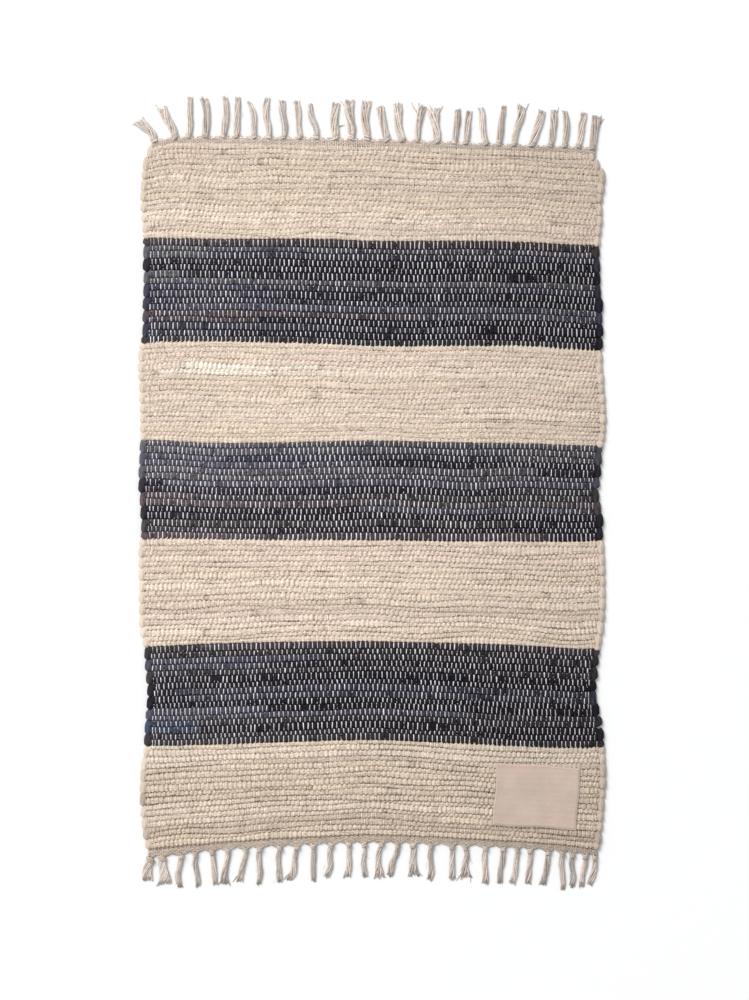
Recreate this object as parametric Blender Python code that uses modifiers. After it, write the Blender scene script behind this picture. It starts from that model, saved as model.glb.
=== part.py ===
"""Rag rug: a flat cloth of thick rag picks, a narrow heading with knotted tassels at
each end, and a small sewn patch. Metres, +Z up, origin under the middle of the rug."""

import math

import bmesh
import bpy
from mathutils import Vector

MM = 0.001

# The cloth: rag picks run across the rug (X), one rib each.
RIB_TOP = 6.4 * MM
RIB_VALLEY = 4.5 * MM
SELVEDGE_HEIGHT = 3.0 * MM
SELVEDGE_INSET = 4.0 * MM
UNDERSIDE_INSET = 1.2 * MM
TURN_BULGE = 1.6 * MM
ROW_UNEVENNESS = 0.10
ROW_WANDER = 0.10
WANDER_LENGTH = 110 * MM

# Stripes, from the far end (+Y) to the near end: (colour, picks)
STRIPES = (
    ("cream", 16),
    ("charcoal", 16),
    ("cream", 17),
    ("charcoal", 15),
    ("cream", 18),
    ("charcoal", 16),
    ("cream", 16),
)

# Where the stripes meet: y in mm at each x station, one row for each edge, far end first.
STATIONS_MM = (-296, -262, -200, -100, 0, 100, 200, 262, 296)
STRIPE_EDGES_MM = (
    (442.0, 453.5, 454.5, 453.0, 452.0, 449.0, 445.0, 442.5, 437.5),
    (328.0, 328.0, 327.0, 327.5, 324.5, 324.5, 323.0, 319.5, 319.0),
    (193.0, 194.5, 195.0, 193.5, 189.5, 189.5, 189.0, 185.0, 183.5),
    (68.0, 67.0, 64.0, 65.0, 67.0, 65.0, 63.5, 61.5, 60.0),
    (-59.5, -58.5, -59.5, -60.5, -60.5, -62.0, -62.5, -62.5, -61.0),
    (-198.0, -197.0, -194.0, -192.0, -191.5, -193.5, -197.0, -200.5, -200.5),
    (-325.5, -325.5, -324.0, -320.5, -318.0, -321.5, -326.5, -328.0, -327.5),
    (-461.0, -456.5, -451.5, -445.0, -443.0, -445.5, -452.0, -457.5, -460.5),
)

# The two selvedges draw in and out: (y, left x, right x) in mm, far end first
SELVEDGES_MM = (
    (445, -288, 291),
    (435, -293, 297),
    (414, -295, 299),
    (393, -298, 299),
    (362, -295, 298),
    (311, -295, 297),
    (280, -297, 300),
    (249, -295, 299),
    (208, -298, 302),
    (177, -302, 300),
    (125, -298, 302),
    (84, -298, 302),
    (63, -301, 299),
    (22, -304, 297),
    (-19, -299, 298),
    (-40, -298, 301),
    (-81, -302, 302),
    (-133, -299, 303),
    (-164, -299, 302),
    (-195, -295, 302),
    (-236, -289, 299),
    (-277, -291, 299),
    (-329, -294, 303),
    (-350, -299, 303),
    (-391, -301, 302),
    (-432, -295, 300),
    (-463, -292, 298),
)

# Headings and tassels
PIECE_GAP = 0.3 * MM
HEADING_THICKNESS = 3.4 * MM
ARCH_STEPS = 4
ARCH_SQUARENESS = 3.0
KNOT_LENGTH = 8.4 * MM
KNOT_HEIGHT = 6.0 * MM
KNOT_LIFT = 0.3 * MM
KNOT_MARGIN = 3.4 * MM
KNOT_OUT = 1.0 * MM
LOCK_PITCH = 3.0 * MM
LOCK_ROOT_PITCH = 2.2 * MM
LOCK_WIDTH = 2.6 * MM
LOCK_HEIGHT = 3.4 * MM
LOCK_ROOT_LIFT = 1.4 * MM
LOCK_TAPER = {0.0: 0.7, 1.0: 0.75}
LOCK_TIP_STAGGER = 1.1 * MM
LOCK_STOPS = (0.0, 0.16, 0.52, 1.0)
STRAIGHT_STOPS = (0.0, 0.16, 1.0)

# Each tassel in mm: (root x, tip x, tip y, sideways bow, locks, width across the tips)
FAR_TASSELS_MM = (
    (-281, -301, 481, 3, 4, 15),
    (-254, -271, 496, 1, 4, 13),
    (-237, -235, 509, 1, 3, 8),
    (-215, -216, 508, 2, 4, 11),
    (-192, -189, 510, 2, 3, 8),
    (-175, -173, 509, 0, 3, 8),
    (-152, -158, 504, 2, 3, 7),
    (-133, -136, 508, -2, 3, 9),
    (-114, -116, 505, 1, 3, 9),
    (-93, -98, 505, 0, 3, 10),
    (-72, -80, 501, 0, 3, 7),
    (-47, -47, 503, -2, 4, 11),
    (-27, -29, 506, 0, 4, 13),
    (-6, -7, 505, -3, 4, 13),
    (19, 10, 498, -1, 4, 12),
    (39, 33, 501, -3, 4, 12),
    (58, 65, 499, -2, 3, 11),
    (84, 79, 496, 0, 4, 17),
    (106, 111, 495, 0, 3, 9),
    (121, 125, 492, 0, 3, 9),
    (147, 141, 496, -2, 3, 9),
    (163, 170, 499, 0, 3, 7),
    (183, 193, 499, 0, 3, 11),
    (206, 220, 492, 0, 4, 11),
    (230, 235, 493, 1, 3, 10),
    (248, 249, 492, 2, 3, 8),
    (266, 273, 489, 0, 3, 9),
    (284, 290, 486, 0, 4, 13),
)
NEAR_TASSELS_MM = (
    (-286, -290, -499, -2, 4, 12),
    (-271, -267, -504, 0, 4, 13),
    (-246, -248, -508, -3, 3, 7),
    (-228, -224, -507, -1, 3, 7),
    (-206, -202, -504, 0, 3, 8),
    (-186, -190, -504, -1, 3, 11),
    (-163, -171, -501, 0, 3, 9),
    (-145, -146, -504, 0, 3, 8),
    (-119, -119, -501, -2, 3, 8),
    (-97, -106, -499, 1, 3, 9),
    (-76, -76, -500, 0, 3, 7),
    (-53, -58, -495, 1, 3, 8),
    (-30, -32, -495, 1, 3, 10),
    (-10, -9, -495, -2, 3, 8),
    (12, 9, -496, -3, 3, 13),
    (33, 23, -493, 0, 3, 9),
    (53, 54, -494, -1, 4, 15),
    (76, 75, -498, 0, 3, 8),
    (103, 103, -498, 0, 3, 9),
    (120, 121, -496, 0, 3, 14),
    (146, 146, -503, -1, 3, 9),
    (169, 164, -503, 0, 3, 8),
    (187, 181, -503, 1, 3, 8),
    (204, 201, -504, 0, 3, 9),
    (227, 220, -504, 1, 3, 9),
    (245, 246, -510, -1, 3, 7),
    (258, 258, -507, 0, 3, 8),
    (275, 270, -507, 0, 3, 8),
    (287, 281, -505, 2, 3, 8),
)

# Each heading: its end of the cloth, its depth under an arch and at a knot, and its x span
FAR_HEADING = {
    "sign": 1,
    "arch_depth": 4.8 * MM,
    "knot_depth": 6.0 * MM,
    "left": -285 * MM,
    "right": 291 * MM,
}
NEAR_HEADING = {
    "sign": -1,
    "arch_depth": 6.0 * MM,
    "knot_depth": 10.0 * MM,
    "left": -290 * MM,
    "right": 294 * MM,
}

# The sewn patch
PATCH_WIDTH = 108 * MM
PATCH_LENGTH = 78 * MM
PATCH_THICKNESS = 1.0 * MM
PATCH_CENTRE = (212 * MM, -391 * MM)
PATCH_TURN = math.radians(-3.6)
PATCH_EDGE_WAVE = 0.8 * MM
PATCH_CELLS = (8, 6)

# Colours: (red, green, blue), linear
CREAM = (0.62, 0.50, 0.38)
CHARCOAL = (0.045, 0.045, 0.06)
WARP_GREY = (0.42, 0.36, 0.31)
PATCH_PINK = (0.60, 0.46, 0.39)
CLOTH_ROUGHNESS = 0.95


def clear_scene():
    for old in list(bpy.data.objects):
        bpy.data.objects.remove(old, do_unlink=True)


def make_material(name, colour):
    material = bpy.data.materials.new(name)
    material.use_nodes = True
    shader = material.node_tree.nodes["Principled BSDF"]
    shader.inputs["Base Color"].default_value = (*colour, 1.0)
    shader.inputs["Roughness"].default_value = CLOTH_ROUGHNESS
    shader.inputs["Metallic"].default_value = 0.0
    material.diffuse_color = (*colour, 1.0)
    return material


def make_object(name, bm, materials, collection):
    mesh = bpy.data.meshes.new(name)
    bm.to_mesh(mesh)
    bm.free()
    for material in materials:
        mesh.materials.append(material)
    thing = bpy.data.objects.new(name, mesh)
    collection.objects.link(thing)
    return thing


def smooth_through(stations, values, at):
    """Value at a place between stations, on a smooth curve through all of them."""
    rising = stations[-1] > stations[0]
    low, high = (stations[0], stations[-1]) if rising else (stations[-1], stations[0])
    at = min(max(at, low), high)
    last = len(stations) - 2
    i = next((k for k in range(last + 1) if (at <= stations[k + 1]) == rising), last)

    def slope(k):
        before, after = max(k - 1, 0), min(k + 1, len(stations) - 1)
        return (values[after] - values[before]) / (stations[after] - stations[before])

    span = stations[i + 1] - stations[i]
    t = (at - stations[i]) / span
    return (
        (2 * t**3 - 3 * t**2 + 1) * values[i]
        + (t**3 - 2 * t**2 + t) * span * slope(i)
        + (3 * t**2 - 2 * t**3) * values[i + 1]
        + (t**3 - t**2) * span * slope(i + 1)
    )


def stripe_edge(edge, x):
    return smooth_through(STATIONS_MM, STRIPE_EDGES_MM[edge], x / MM) * MM


def selvedge(side, y):
    """x of the left (0) or right (1) selvedge at y."""
    stations = [row[0] for row in SELVEDGES_MM]
    values = [row[1 + side] for row in SELVEDGES_MM]
    return smooth_through(stations, values, y / MM) * MM


def row_share(stripe, row, x):
    """Relative height of a pick at x: the picks are beaten down unevenly and wander."""
    phase = 2.4 * row + 1.7 * stripe
    wander = math.sin(x / WANDER_LENGTH + 1.3 * phase)
    return 1 + ROW_UNEVENNESS * math.sin(phase) + ROW_WANDER * wander


def row_line(stripe, place, x):
    """y at x of a line that lies a number of picks (whole or half) into a stripe."""
    shares = [row_share(stripe, row, x) for row in range(STRIPES[stripe][1])]
    whole = int(place)
    passed = sum(shares[:whole])
    if place > whole:
        passed += shares[whole] * (place - whole)
    far, near = stripe_edge(stripe, x), stripe_edge(stripe + 1, x)
    return far + (near - far) * passed / sum(shares)


def cloth_lines():
    """Lines across the cloth, far end first: (stripe, place in it, picks so far)."""
    lines = []
    done = 0
    for stripe, (_, picks) in enumerate(STRIPES):
        lines += [(stripe, half / 2, done + half / 2) for half in range(2 * picks)]
        done += picks
    lines.append((len(STRIPES) - 1, STRIPES[-1][1], done))
    return lines


def turn_bulge(side, pick):
    """How far a selvedge stands out where the weft turns, once in two picks."""
    return TURN_BULGE * math.cos(math.pi * (pick - 1 + side))


def line_points(stripe, place, pick):
    """One line across the cloth's top, from the left selvedge to the right one."""
    middle_y = row_line(stripe, place, 0.0)
    left = selvedge(0, middle_y) - turn_bulge(0, pick)
    right = selvedge(1, middle_y) + turn_bulge(1, pick)
    inner = [station * MM for station in STATIONS_MM[1:-1]]
    columns = [left, left + SELVEDGE_INSET, *inner, right - SELVEDGE_INSET, right]
    crest = RIB_TOP if place % 1 else RIB_VALLEY
    points = []
    for i, x in enumerate(columns):
        at_edge = i in (0, len(columns) - 1)
        points.append((x, row_line(stripe, place, x), SELVEDGE_HEIGHT if at_edge else crest))
    return points


def build_cloth(materials, collection):
    """The cloth: a grid with a rib for each pick, closed by a wall and a flat underside."""
    lines = cloth_lines()
    rows = [line_points(*line) for line in lines]
    across = len(rows[0])
    bm = bmesh.new()
    bmesh.ops.create_grid(bm, x_segments=across - 1, y_segments=len(rows) - 1, size=0.5)
    bm.verts.ensure_lookup_table()
    for vert in bm.verts:
        line, column = divmod(vert.index, across)
        vert.co = rows[len(rows) - 1 - line][column]
    for face in bm.faces:
        band = len(lines) - 2 - face.index // (across - 1)
        face.material_index = int(STRIPES[lines[band][0]][0] == "charcoal")
    rim = [edge for edge in bm.edges if edge.is_boundary]
    foot = bmesh.ops.extrude_edge_only(bm, edges=rim)["geom"]
    for vert in (item for item in foot if isinstance(item, bmesh.types.BMVert)):
        if abs(vert.co.z - SELVEDGE_HEIGHT) < 0.1 * MM:
            vert.co.x -= math.copysign(UNDERSIDE_INSET, vert.co.x)
        vert.co.z = 0.0
    foot_edges = [item for item in foot if isinstance(item, bmesh.types.BMEdge)]
    underside = bmesh.ops.contextual_create(bm, geom=foot_edges)["faces"]
    bmesh.ops.triangulate(bm, faces=underside, ngon_method="BEAUTY")
    bmesh.ops.recalc_face_normals(bm, faces=bm.faces)
    return make_object("rug_body", bm, materials, collection)


def end_edge(heading):
    """Points of the cloth's end line that the heading lies along."""
    lines = cloth_lines()
    line = lines[0] if heading["sign"] > 0 else lines[-1]
    return [(x, y) for x, y, _ in line_points(*line)]


def end_edge_y(heading, x):
    edge = end_edge(heading)
    for (x0, y0), (x1, y1) in zip(edge, edge[1:]):
        if x0 <= x <= x1:
            return y0 + (y1 - y0) * (x - x0) / (x1 - x0)
    raise ValueError("the heading is wider than the cloth")


def heading_outline(heading, roots):
    """Closed outline: along the cloth's end with a gap, then back in arches between knots."""
    sign = heading["sign"]
    left, right = heading["left"], heading["right"]
    inside = [x for x, _ in end_edge(heading) if left < x < right]
    inner = [(x, end_edge_y(heading, x) + sign * PIECE_GAP) for x in (left, *inside, right)]
    posts = [left, *roots, right]
    outer = []
    for a, b in zip(posts, posts[1:]):
        for step in range(ARCH_STEPS):
            t = step / ARCH_STEPS
            rise = 1 - abs(2 * t - 1) ** ARCH_SQUARENESS
            depth = heading["knot_depth"] + (heading["arch_depth"] - heading["knot_depth"]) * rise
            x = a + (b - a) * t
            outer.append((x, end_edge_y(heading, x) + sign * depth))
    outer.append((right, end_edge_y(heading, right) + sign * heading["knot_depth"]))
    return inner + outer[::-1]


def build_heading_strip(name, heading, roots, material, collection):
    curve = bpy.data.curves.new(name, "CURVE")
    curve.dimensions = "2D"
    curve.fill_mode = "BOTH"
    curve.extrude = HEADING_THICKNESS / 2
    outline = heading_outline(heading, roots)
    spline = curve.splines.new("POLY")
    spline.points.add(len(outline) - 1)
    for point, (x, y) in zip(spline.points, outline):
        point.co = (x, y, 0.0, 1.0)
    spline.use_cyclic_u = True
    flat = bpy.data.objects.new(name + "_outline", curve)
    flat.location.z = HEADING_THICKNESS / 2
    collection.objects.link(flat)
    bpy.context.view_layer.update()
    mesh = bpy.data.meshes.new_from_object(flat.evaluated_get(bpy.context.evaluated_depsgraph_get()))
    bm = bmesh.new()
    bm.from_mesh(mesh)
    bmesh.ops.transform(bm, matrix=flat.matrix_world, verts=bm.verts)
    bmesh.ops.remove_doubles(bm, verts=bm.verts, dist=0.01 * MM)
    bmesh.ops.recalc_face_normals(bm, faces=bm.faces)
    bpy.data.objects.remove(flat)
    bpy.data.meshes.remove(mesh)
    return make_object(name, bm, [material], collection)


def add_knot(bm, root, locks):
    """A low knot, wide enough for its locks, clear of the floor."""
    width = LOCK_ROOT_PITCH * (locks - 1) + LOCK_WIDTH + KNOT_MARGIN
    made = bmesh.ops.create_icosphere(bm, subdivisions=1, radius=0.5)
    bmesh.ops.scale(bm, vec=(width, KNOT_LENGTH, KNOT_HEIGHT), verts=made["verts"])
    centre = Vector((root.x, root.y, KNOT_LIFT + KNOT_HEIGHT / 2))
    bmesh.ops.translate(bm, vec=centre, verts=made["verts"])


def add_lock(bm, path):
    """A three-sided lock with its flat side on the floor, along a path in plan."""
    rings = []
    for i, (place, lift, scale) in enumerate(path):
        before, after = path[max(i - 1, 0)][0], path[min(i + 1, len(path) - 1)][0]
        along = (after - before).normalized()
        side = Vector((-along.y, along.x, 0.0)) * (LOCK_WIDTH * scale / 2)
        foot = Vector((place.x, place.y, lift))
        crest = foot + Vector((0.0, 0.0, LOCK_HEIGHT * scale))
        rings.append([bm.verts.new(corner) for corner in (foot - side, crest, foot + side)])
    for ring, following in zip(rings, rings[1:]):
        for k in range(3):
            bm.faces.new((ring[k], following[k], following[k - 1], ring[k - 1]))
    bm.faces.new(rings[0])
    bm.faces.new(rings[-1][::-1])


def add_tassel(bm, root, tip, bow, locks, tip_width, number):
    add_knot(bm, root, locks)
    straight = tip - root
    across = Vector((-straight.y, straight.x, 0.0)).normalized()
    if across.x < 0:
        across.negate()
    tip_pitch = (tip_width - LOCK_WIDTH) / (locks - 1)
    for lock in range(locks):
        rank = lock - (locks - 1) / 2
        stagger = LOCK_TIP_STAGGER * ((3 * lock + 2 * number) % 4 - 1.5) / 1.5
        path = []
        for t in LOCK_STOPS if bow else STRAIGHT_STOPS:
            pitch = {0.0: LOCK_ROOT_PITCH, 1.0: tip_pitch}.get(t, LOCK_PITCH)
            place = root + straight * t + across * (rank * pitch + bow * math.sin(math.pi * t))
            if t == 1.0:
                place = place + straight.normalized() * stagger
            path.append((place, 0.0 if t else LOCK_ROOT_LIFT, LOCK_TAPER.get(t, 1.0)))
        add_lock(bm, path)


def build_fringe(name, heading, tassels, material, collection, tools):
    """A heading strip with its knots and locks fused to it."""
    roots = [row[0] * MM for row in tassels]
    strip = build_heading_strip(name, heading, roots, material, collection)
    bm = bmesh.new()
    for number, (root_x, tip_x, tip_y, bow, locks, tip_width) in enumerate(tassels):
        x = root_x * MM
        out = heading["sign"] * (heading["knot_depth"] + KNOT_OUT)
        root = Vector((x, end_edge_y(heading, x) + out, 0.0))
        tip = Vector((tip_x * MM, tip_y * MM, 0.0))
        add_tassel(bm, root, tip, bow * MM, locks, tip_width * MM, number)
    bmesh.ops.recalc_face_normals(bm, faces=bm.faces)
    tufts = make_object(name + "_tufts", bm, [material], tools)
    tufts.hide_render = True
    tufts.display_type = "WIRE"
    union = strip.modifiers.new("fuse", "BOOLEAN")
    union.operation = "UNION"
    union.object = tufts
    union.use_self = True
    return strip


def build_patch(material, collection):
    """A thin patch that lies on the ribs, with slightly wavy edges."""
    bm = bmesh.new()
    bmesh.ops.create_grid(bm, x_segments=PATCH_CELLS[0], y_segments=PATCH_CELLS[1], size=0.5)
    for vert in bm.verts:
        u, v = vert.co.x, vert.co.y
        across = PATCH_EDGE_WAVE * math.sin(7.0 * v + 0.6) * abs(2 * u)
        along = PATCH_EDGE_WAVE * math.sin(9.0 * u + 1.1) * abs(2 * v)
        vert.co = (u * PATCH_WIDTH + across, v * PATCH_LENGTH + along, 0.0)
    patch = make_object("sewn_patch", bm, [material], collection)
    patch.location = (*PATCH_CENTRE, RIB_TOP + PIECE_GAP)
    patch.rotation_euler.z = PATCH_TURN
    solidify = patch.modifiers.new("thickness", "SOLIDIFY")
    solidify.thickness = PATCH_THICKNESS
    solidify.offset = 1.0
    return patch


def centre_over_origin(holder, pieces):
    """Move the whole rug so that the middle of its box is over the origin."""
    bpy.context.view_layer.update()
    depsgraph = bpy.context.evaluated_depsgraph_get()
    corners = []
    for piece in pieces:
        done = piece.evaluated_get(depsgraph)
        corners += [piece.matrix_world @ Vector(corner) for corner in done.bound_box]
    for axis in (0, 1):
        values = [corner[axis] for corner in corners]
        holder.location[axis] = -(min(values) + max(values)) / 2


def main():
    clear_scene()
    rug = bpy.data.collections.new("rag_rug")
    tools = bpy.data.collections.new("rag_rug_tools")
    bpy.context.scene.collection.children.link(rug)
    bpy.context.scene.collection.children.link(tools)
    cream = make_material("cream_rag", CREAM)
    charcoal = make_material("charcoal_rag", CHARCOAL)
    warp = make_material("warp_cotton", WARP_GREY)
    patch_cotton = make_material("patch_cotton", PATCH_PINK)
    pieces = [
        build_cloth([cream, charcoal], rug),
        build_fringe("fringe_far", FAR_HEADING, FAR_TASSELS_MM, warp, rug, tools),
        build_fringe("fringe_near", NEAR_HEADING, NEAR_TASSELS_MM, warp, rug, tools),
        build_patch(patch_cotton, rug),
    ]
    holder = bpy.data.objects.new("rag_rug_origin", None)
    rug.objects.link(holder)
    for thing in [*pieces, *tools.objects]:
        thing.parent = holder
    centre_over_origin(holder, pieces)


main()
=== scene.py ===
"""Looks of the rag rug: woven rag picks on cotton warps, fine headings, knotted tassels and
a sewn patch, on a pale floor. Metres, +Z up, in the frame's own axes."""

import math

import bpy
import numpy as np
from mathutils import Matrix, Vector


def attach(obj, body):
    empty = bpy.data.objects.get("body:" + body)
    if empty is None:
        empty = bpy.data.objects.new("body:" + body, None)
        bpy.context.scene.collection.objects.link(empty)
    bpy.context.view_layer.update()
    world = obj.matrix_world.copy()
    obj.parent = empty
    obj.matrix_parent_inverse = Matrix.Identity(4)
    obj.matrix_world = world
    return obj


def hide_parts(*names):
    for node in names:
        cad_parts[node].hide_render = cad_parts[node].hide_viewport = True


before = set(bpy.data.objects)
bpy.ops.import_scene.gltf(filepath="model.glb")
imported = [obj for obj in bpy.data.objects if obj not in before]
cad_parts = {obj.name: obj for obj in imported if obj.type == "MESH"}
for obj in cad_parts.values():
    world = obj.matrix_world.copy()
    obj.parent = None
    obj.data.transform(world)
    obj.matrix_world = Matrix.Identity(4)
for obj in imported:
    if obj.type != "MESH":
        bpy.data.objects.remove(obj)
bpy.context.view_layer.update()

MM = 0.001

# From the middle of the tables below to the frame's origin
SHIFT = np.array((0.54, -0.30, 0.0)) * MM

# Stripes, from the far end (+Y) to the near end:
# (colour, picks, tone, how tight the picks are beaten, how much they stand out in relief,
# painted shade in the gaps between them, as one number or as red, green and blue)
STRIPES = (
    ("cream", 17, 0.855, 1.12, 0.66, 1.13),
    ("charcoal", 16, 1.00, 1.00, 1.12, 1.0),
    ("cream", 19, 0.902, 1.12, 0.68, 1.09),
    ("charcoal", 15, 1.17, 1.00, 1.12, 1.0),
    ("cream", 19, 0.903, 1.06, 0.93, 0.99),
    ("charcoal", 16, 0.83, 0.99, 1.10, 1.0),
    ("cream", 18, 0.790, 1.07, 1.05, (0.67, 0.65, 0.585)),
)
FIRST_PICK = np.concatenate([[0], np.cumsum([row[1] for row in STRIPES])])
PICKS = int(FIRST_PICK[-1])

# Where the stripes meet: y in mm at each x station, one row for each edge, far end first.
STATIONS_MM = (-296, -262, -200, -100, 0, 100, 200, 262, 296)
STRIPE_EDGES_MM = (
    (440.5, 449.4, 450.0, 448.2, 446.4, 443.5, 439.7, 437.4, 432.6),
    (328.0, 328.0, 327.0, 327.5, 324.5, 324.5, 323.0, 319.5, 319.0),
    (193.0, 194.5, 195.0, 193.5, 189.5, 189.5, 189.0, 185.0, 183.5),
    (68.0, 67.0, 64.0, 65.0, 67.0, 65.0, 63.5, 61.5, 60.0),
    (-59.5, -58.5, -59.5, -60.5, -60.5, -62.0, -62.5, -62.5, -61.0),
    (-198.0, -197.0, -194.0, -192.0, -191.5, -193.5, -197.0, -200.5, -200.5),
    (-325.5, -325.5, -324.0, -320.5, -318.0, -321.5, -326.5, -328.0, -327.5),
    (-460.4, -455.5, -450.4, -443.8, -440.0, -443.9, -449.7, -455.4, -458.0),
)
# Where the headings' arches end, at the same stations
HEMS_MM = {
    "far": (449.0, 456.4, 458.5, 457.2, 455.0, 451.3, 447.2, 445.4, 442.5),
    "near": (-468.5, -465.0, -457.7, -451.9, -447.9, -451.2, -456.0, -462.2, -466.2),
}

# The two selvedges draw in and out: (y, left x, right x) in mm, far end first
SELVEDGES_MM = (
    (447, -284, 285), (438, -292, 291), (424, -296, 300), (393, -298, 297),
    (362, -298, 297), (328, -295, 293), (300, -295, 294), (259, -295, 296),
    (218, -296, 298), (198, -297, 298), (176, -301, 297), (135, -300, 299.5),
    (94, -299, 301.5), (63, -299, 297), (32, -301, 295), (5, -301, 292),
    (-30, -298, 297), (-55, -298, 298), (-71, -301, 299), (-133, -300, 301),
    (-164, -300, 298), (-190, -295, 294), (-222, -292, 291), (-250, -290, 289),
    (-285, -292.5, 296.5), (-315, -293.5, 299.5), (-345, -298, 301.5), (-391, -298.5, 299),
    (-430, -292.5, 295), (-463, -288, 288),
)

# Painted light: every strand is painted brighter toward the left selvedge and darker toward the right,
# as if lit from the left: (x in mm, painted light)
PAINTED_LIGHT_FROM_LEFT = {
    "cream": (
        (-290, 1.055), (-200, 1.06), (-100, 1.055), (0, 1.02), (110, 0.98), (200, 0.915), (290, 0.855),
    ),
    "charcoal": (
        (-290, 1.56), (-200, 1.46), (-100, 1.20), (0, 1.0), (110, 0.88), (200, 0.81), (290, 0.80),
    ),
}

# The rags of each stripe in the order they were woven in, each with its length in picks
RAG_ORDER = (
    "oat 1.2, ecru 0.5, oat 1.6, straw 2.2, ecru 1.8, oat 1.6, straw 1.4, ecru 1.5, sand 1.0, "
    "pearl 1.6, shell 1.2, ecru 1.7",
    "plum 1.0, ash 1.2, navy 0.9, ink 2.8, ash 1.0, navy 1.4, ink 0.9, navy 1.0, slate 1.3, plum 0.8, "
    "ink 1.0, navy 0.9, ink 0.8, soot 1.0",
    "ecru 1.8, shell 1.4, ecru 0.81, ivory 0.30, pearl 1.33, ivory 0.26, ecru 1.20, sand 1.3, "
    "shell 0.9, ecru 3.2, pearl 1.2, shell 0.8, sand 1.6, ecru 2.0",
    "ash 2.2, navy 0.6, slate 0.7, ink 0.7, ash 1.7, slate 1.0, ink 0.9, soot 1.0, plum 1.1, "
    "slate 0.5, ink 1.7, soot 1.0, ink 0.9, plum 1.0",
    "ecru 1.2, oat 0.8, shell 1.6, ecru 1.7, sand 1.6, pearl 1.8, sand 1.0, ecru 1.3, oat 1.9, "
    "shell 1.2, pearl 1.1, sand 1.6, ecru 1.2",
    "plum 0.9, soot 1.8, slate 0.6, ink 0.7, soot 1.0, ink 2.0, navy 1.8, ink 1.7, slate 1.0, "
    "soot 1.29, denim 0.21, ink 1.30, soot 1.7",
    "ecru 0.9, pearl 1.9, oat 1.1, sand 1.0, straw 1.7, sand 1.0, straw 1.2, oat 0.7, ecru 2.5, "
    "sand 0.8, umber 1.7, sand 1.5",
)
RAG_LENGTH_SPREAD = 0.05
FIRST_PICKS_THIN = 0.82
ROW_UNEVENNESS = 0.18
ROW_WANDER = {"cream": 0.12, "charcoal": 0.07}
WANDER_LENGTH = 110 * MM
# How the waves of one row or stripe run on from those of the last
ROW_PHASE, STRIPE_PHASE, WANDER_PHASE = 2.4, 1.7, 1.3
ROW_LUMPS = {"cream": 0.17, "charcoal": 0.08}
LUMPS_ALONG = 12
# How far each pick gives way to the lumps of the one before
LUMPS_GIVE_WAY = 0.55
# How much thicker than the last each stripe's first picks are
ROW_TRENDS = (0.0, 0.0, 0.10, 0.0, 0.0, 0.0, 0.04)
LUMP_SPACING = 62 * MM

# The weave
WARPS = 193
# How far apart the warps are: (share of the way across, spacing)
WARP_SPACING = (
    (0.0, 0.60), (0.008, 0.70), (0.016, 0.94), (0.1, 0.96), (0.28, 1.03), (0.5, 1.035),
    (0.7, 0.995), (0.88, 0.99), (0.984, 0.94), (0.992, 0.70), (1.0, 0.60),
)
EDGE_INSET = 9.0 * MM
HALF_STEPS = 2 * WARPS
MIDDLE_Z = 3.0 * MM
PICK_LIFT = 0.58 * MM
PICK_HALF_HEIGHT = 2.15 * MM
PICK_SWELL = 0.10
PICK_SPREAD = 0.22
PICK_SWAY = 0.25 * MM
PICK_Z_SPREAD = 0.12 * MM
# A pick puffs out unevenly, and at a few places it is nipped in or bulges
PUFF_SPREAD = 0.055
NIPS = 0.03
NIP, BULGE = 0.22, 0.16
# Painted light along a pick: how much paler its crests and how much darker its dips are painted, in each
# stripe
CREST_PAINTED_LIGHT = (0.095, 0.06, 0.075, 0.06, 0.075, 0.06, 0.105)
CREST_LIGHT_SPREAD = 0.015
# How a pick swells between two warps, where it is 1 over a warp and -1 under one
BETWEEN_SWELL = -0.22
PICK_PROFILES = {
    "cream": ((1, 0.58), (0.6, 0.93), (0, 1), (-0.6, 0.93), (-1, 0.58), (0, -0.95)),
    "charcoal": ((1, 0.42), (0.46, 0.97), (-0.46, 0.97), (-1, 0.42), (0, -0.95)),
}
# Painted light round a pick's profile: painted shade, darker and warmer, on its sides and underside in
# the gaps, and a painted highlight, paler and bluer, on its crest
GAP_PAINTED_SHADE, SHOULDER_PAINTED_LIGHT, CREST_PAINTED_HIGHLIGHT = (1.0, 0.95, 0.885), (1.0, 0.995, 0.985), (1.01, 1.015, 1.03)
PICK_PAINTED_LIGHT = {
    "cream": (GAP_PAINTED_SHADE, SHOULDER_PAINTED_LIGHT, CREST_PAINTED_HIGHLIGHT, SHOULDER_PAINTED_LIGHT, GAP_PAINTED_SHADE, GAP_PAINTED_SHADE),
    "charcoal": ((1.0, 1.0, 1.0),) * 5,
}
DOME_SWAY = 0.22 * MM
# How many of the joins between rags are lumpy, how dark their painted shade is, and how many
# half steps of warp they hide to each side
LUMPY_JOINS = {"cream": 0.7, "charcoal": 0.0}
JOIN_PAINTED_SHADE = 0.70
JOIN_HIDES = 3
JOIN_WIDER, JOIN_HIGHER = 0.10, 0.12
# A fold beside each lumpy join, where the pick draws in, painted darker with painted shade
FOLD_WIDTH = 0.74
FOLD_PAINTED_SHADE = 0.86
# Loose places, where a pick draws in and a dark gap opens beside it; the pick is painted darker there,
# painted shade
PINCHES = {"cream": 12, "charcoal": 0}
PINCH_DEPTH = 0.24
PINCH_PAINTED_SHADE = 0.05
SHORTEST_PINCH = 8
LONGEST_PINCH = (34, 0, 34, 0, 60, 0, 110)
# How much the ribs' relief changes along a pick
RELIEF_SPREAD = {"cream": 0.34, "charcoal": 0.06}
RELIEF_LIMITS = (0.3, 1.7)
# Creases: how often, how narrow and low, and how dark their painted shade
CREASES = {"cream": 0.006, "charcoal": 0.004}
CREASE_WIDTH, CREASE_HEIGHT, CREASE_PAINTED_SHADE = 0.82, 0.80, 0.76
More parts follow.
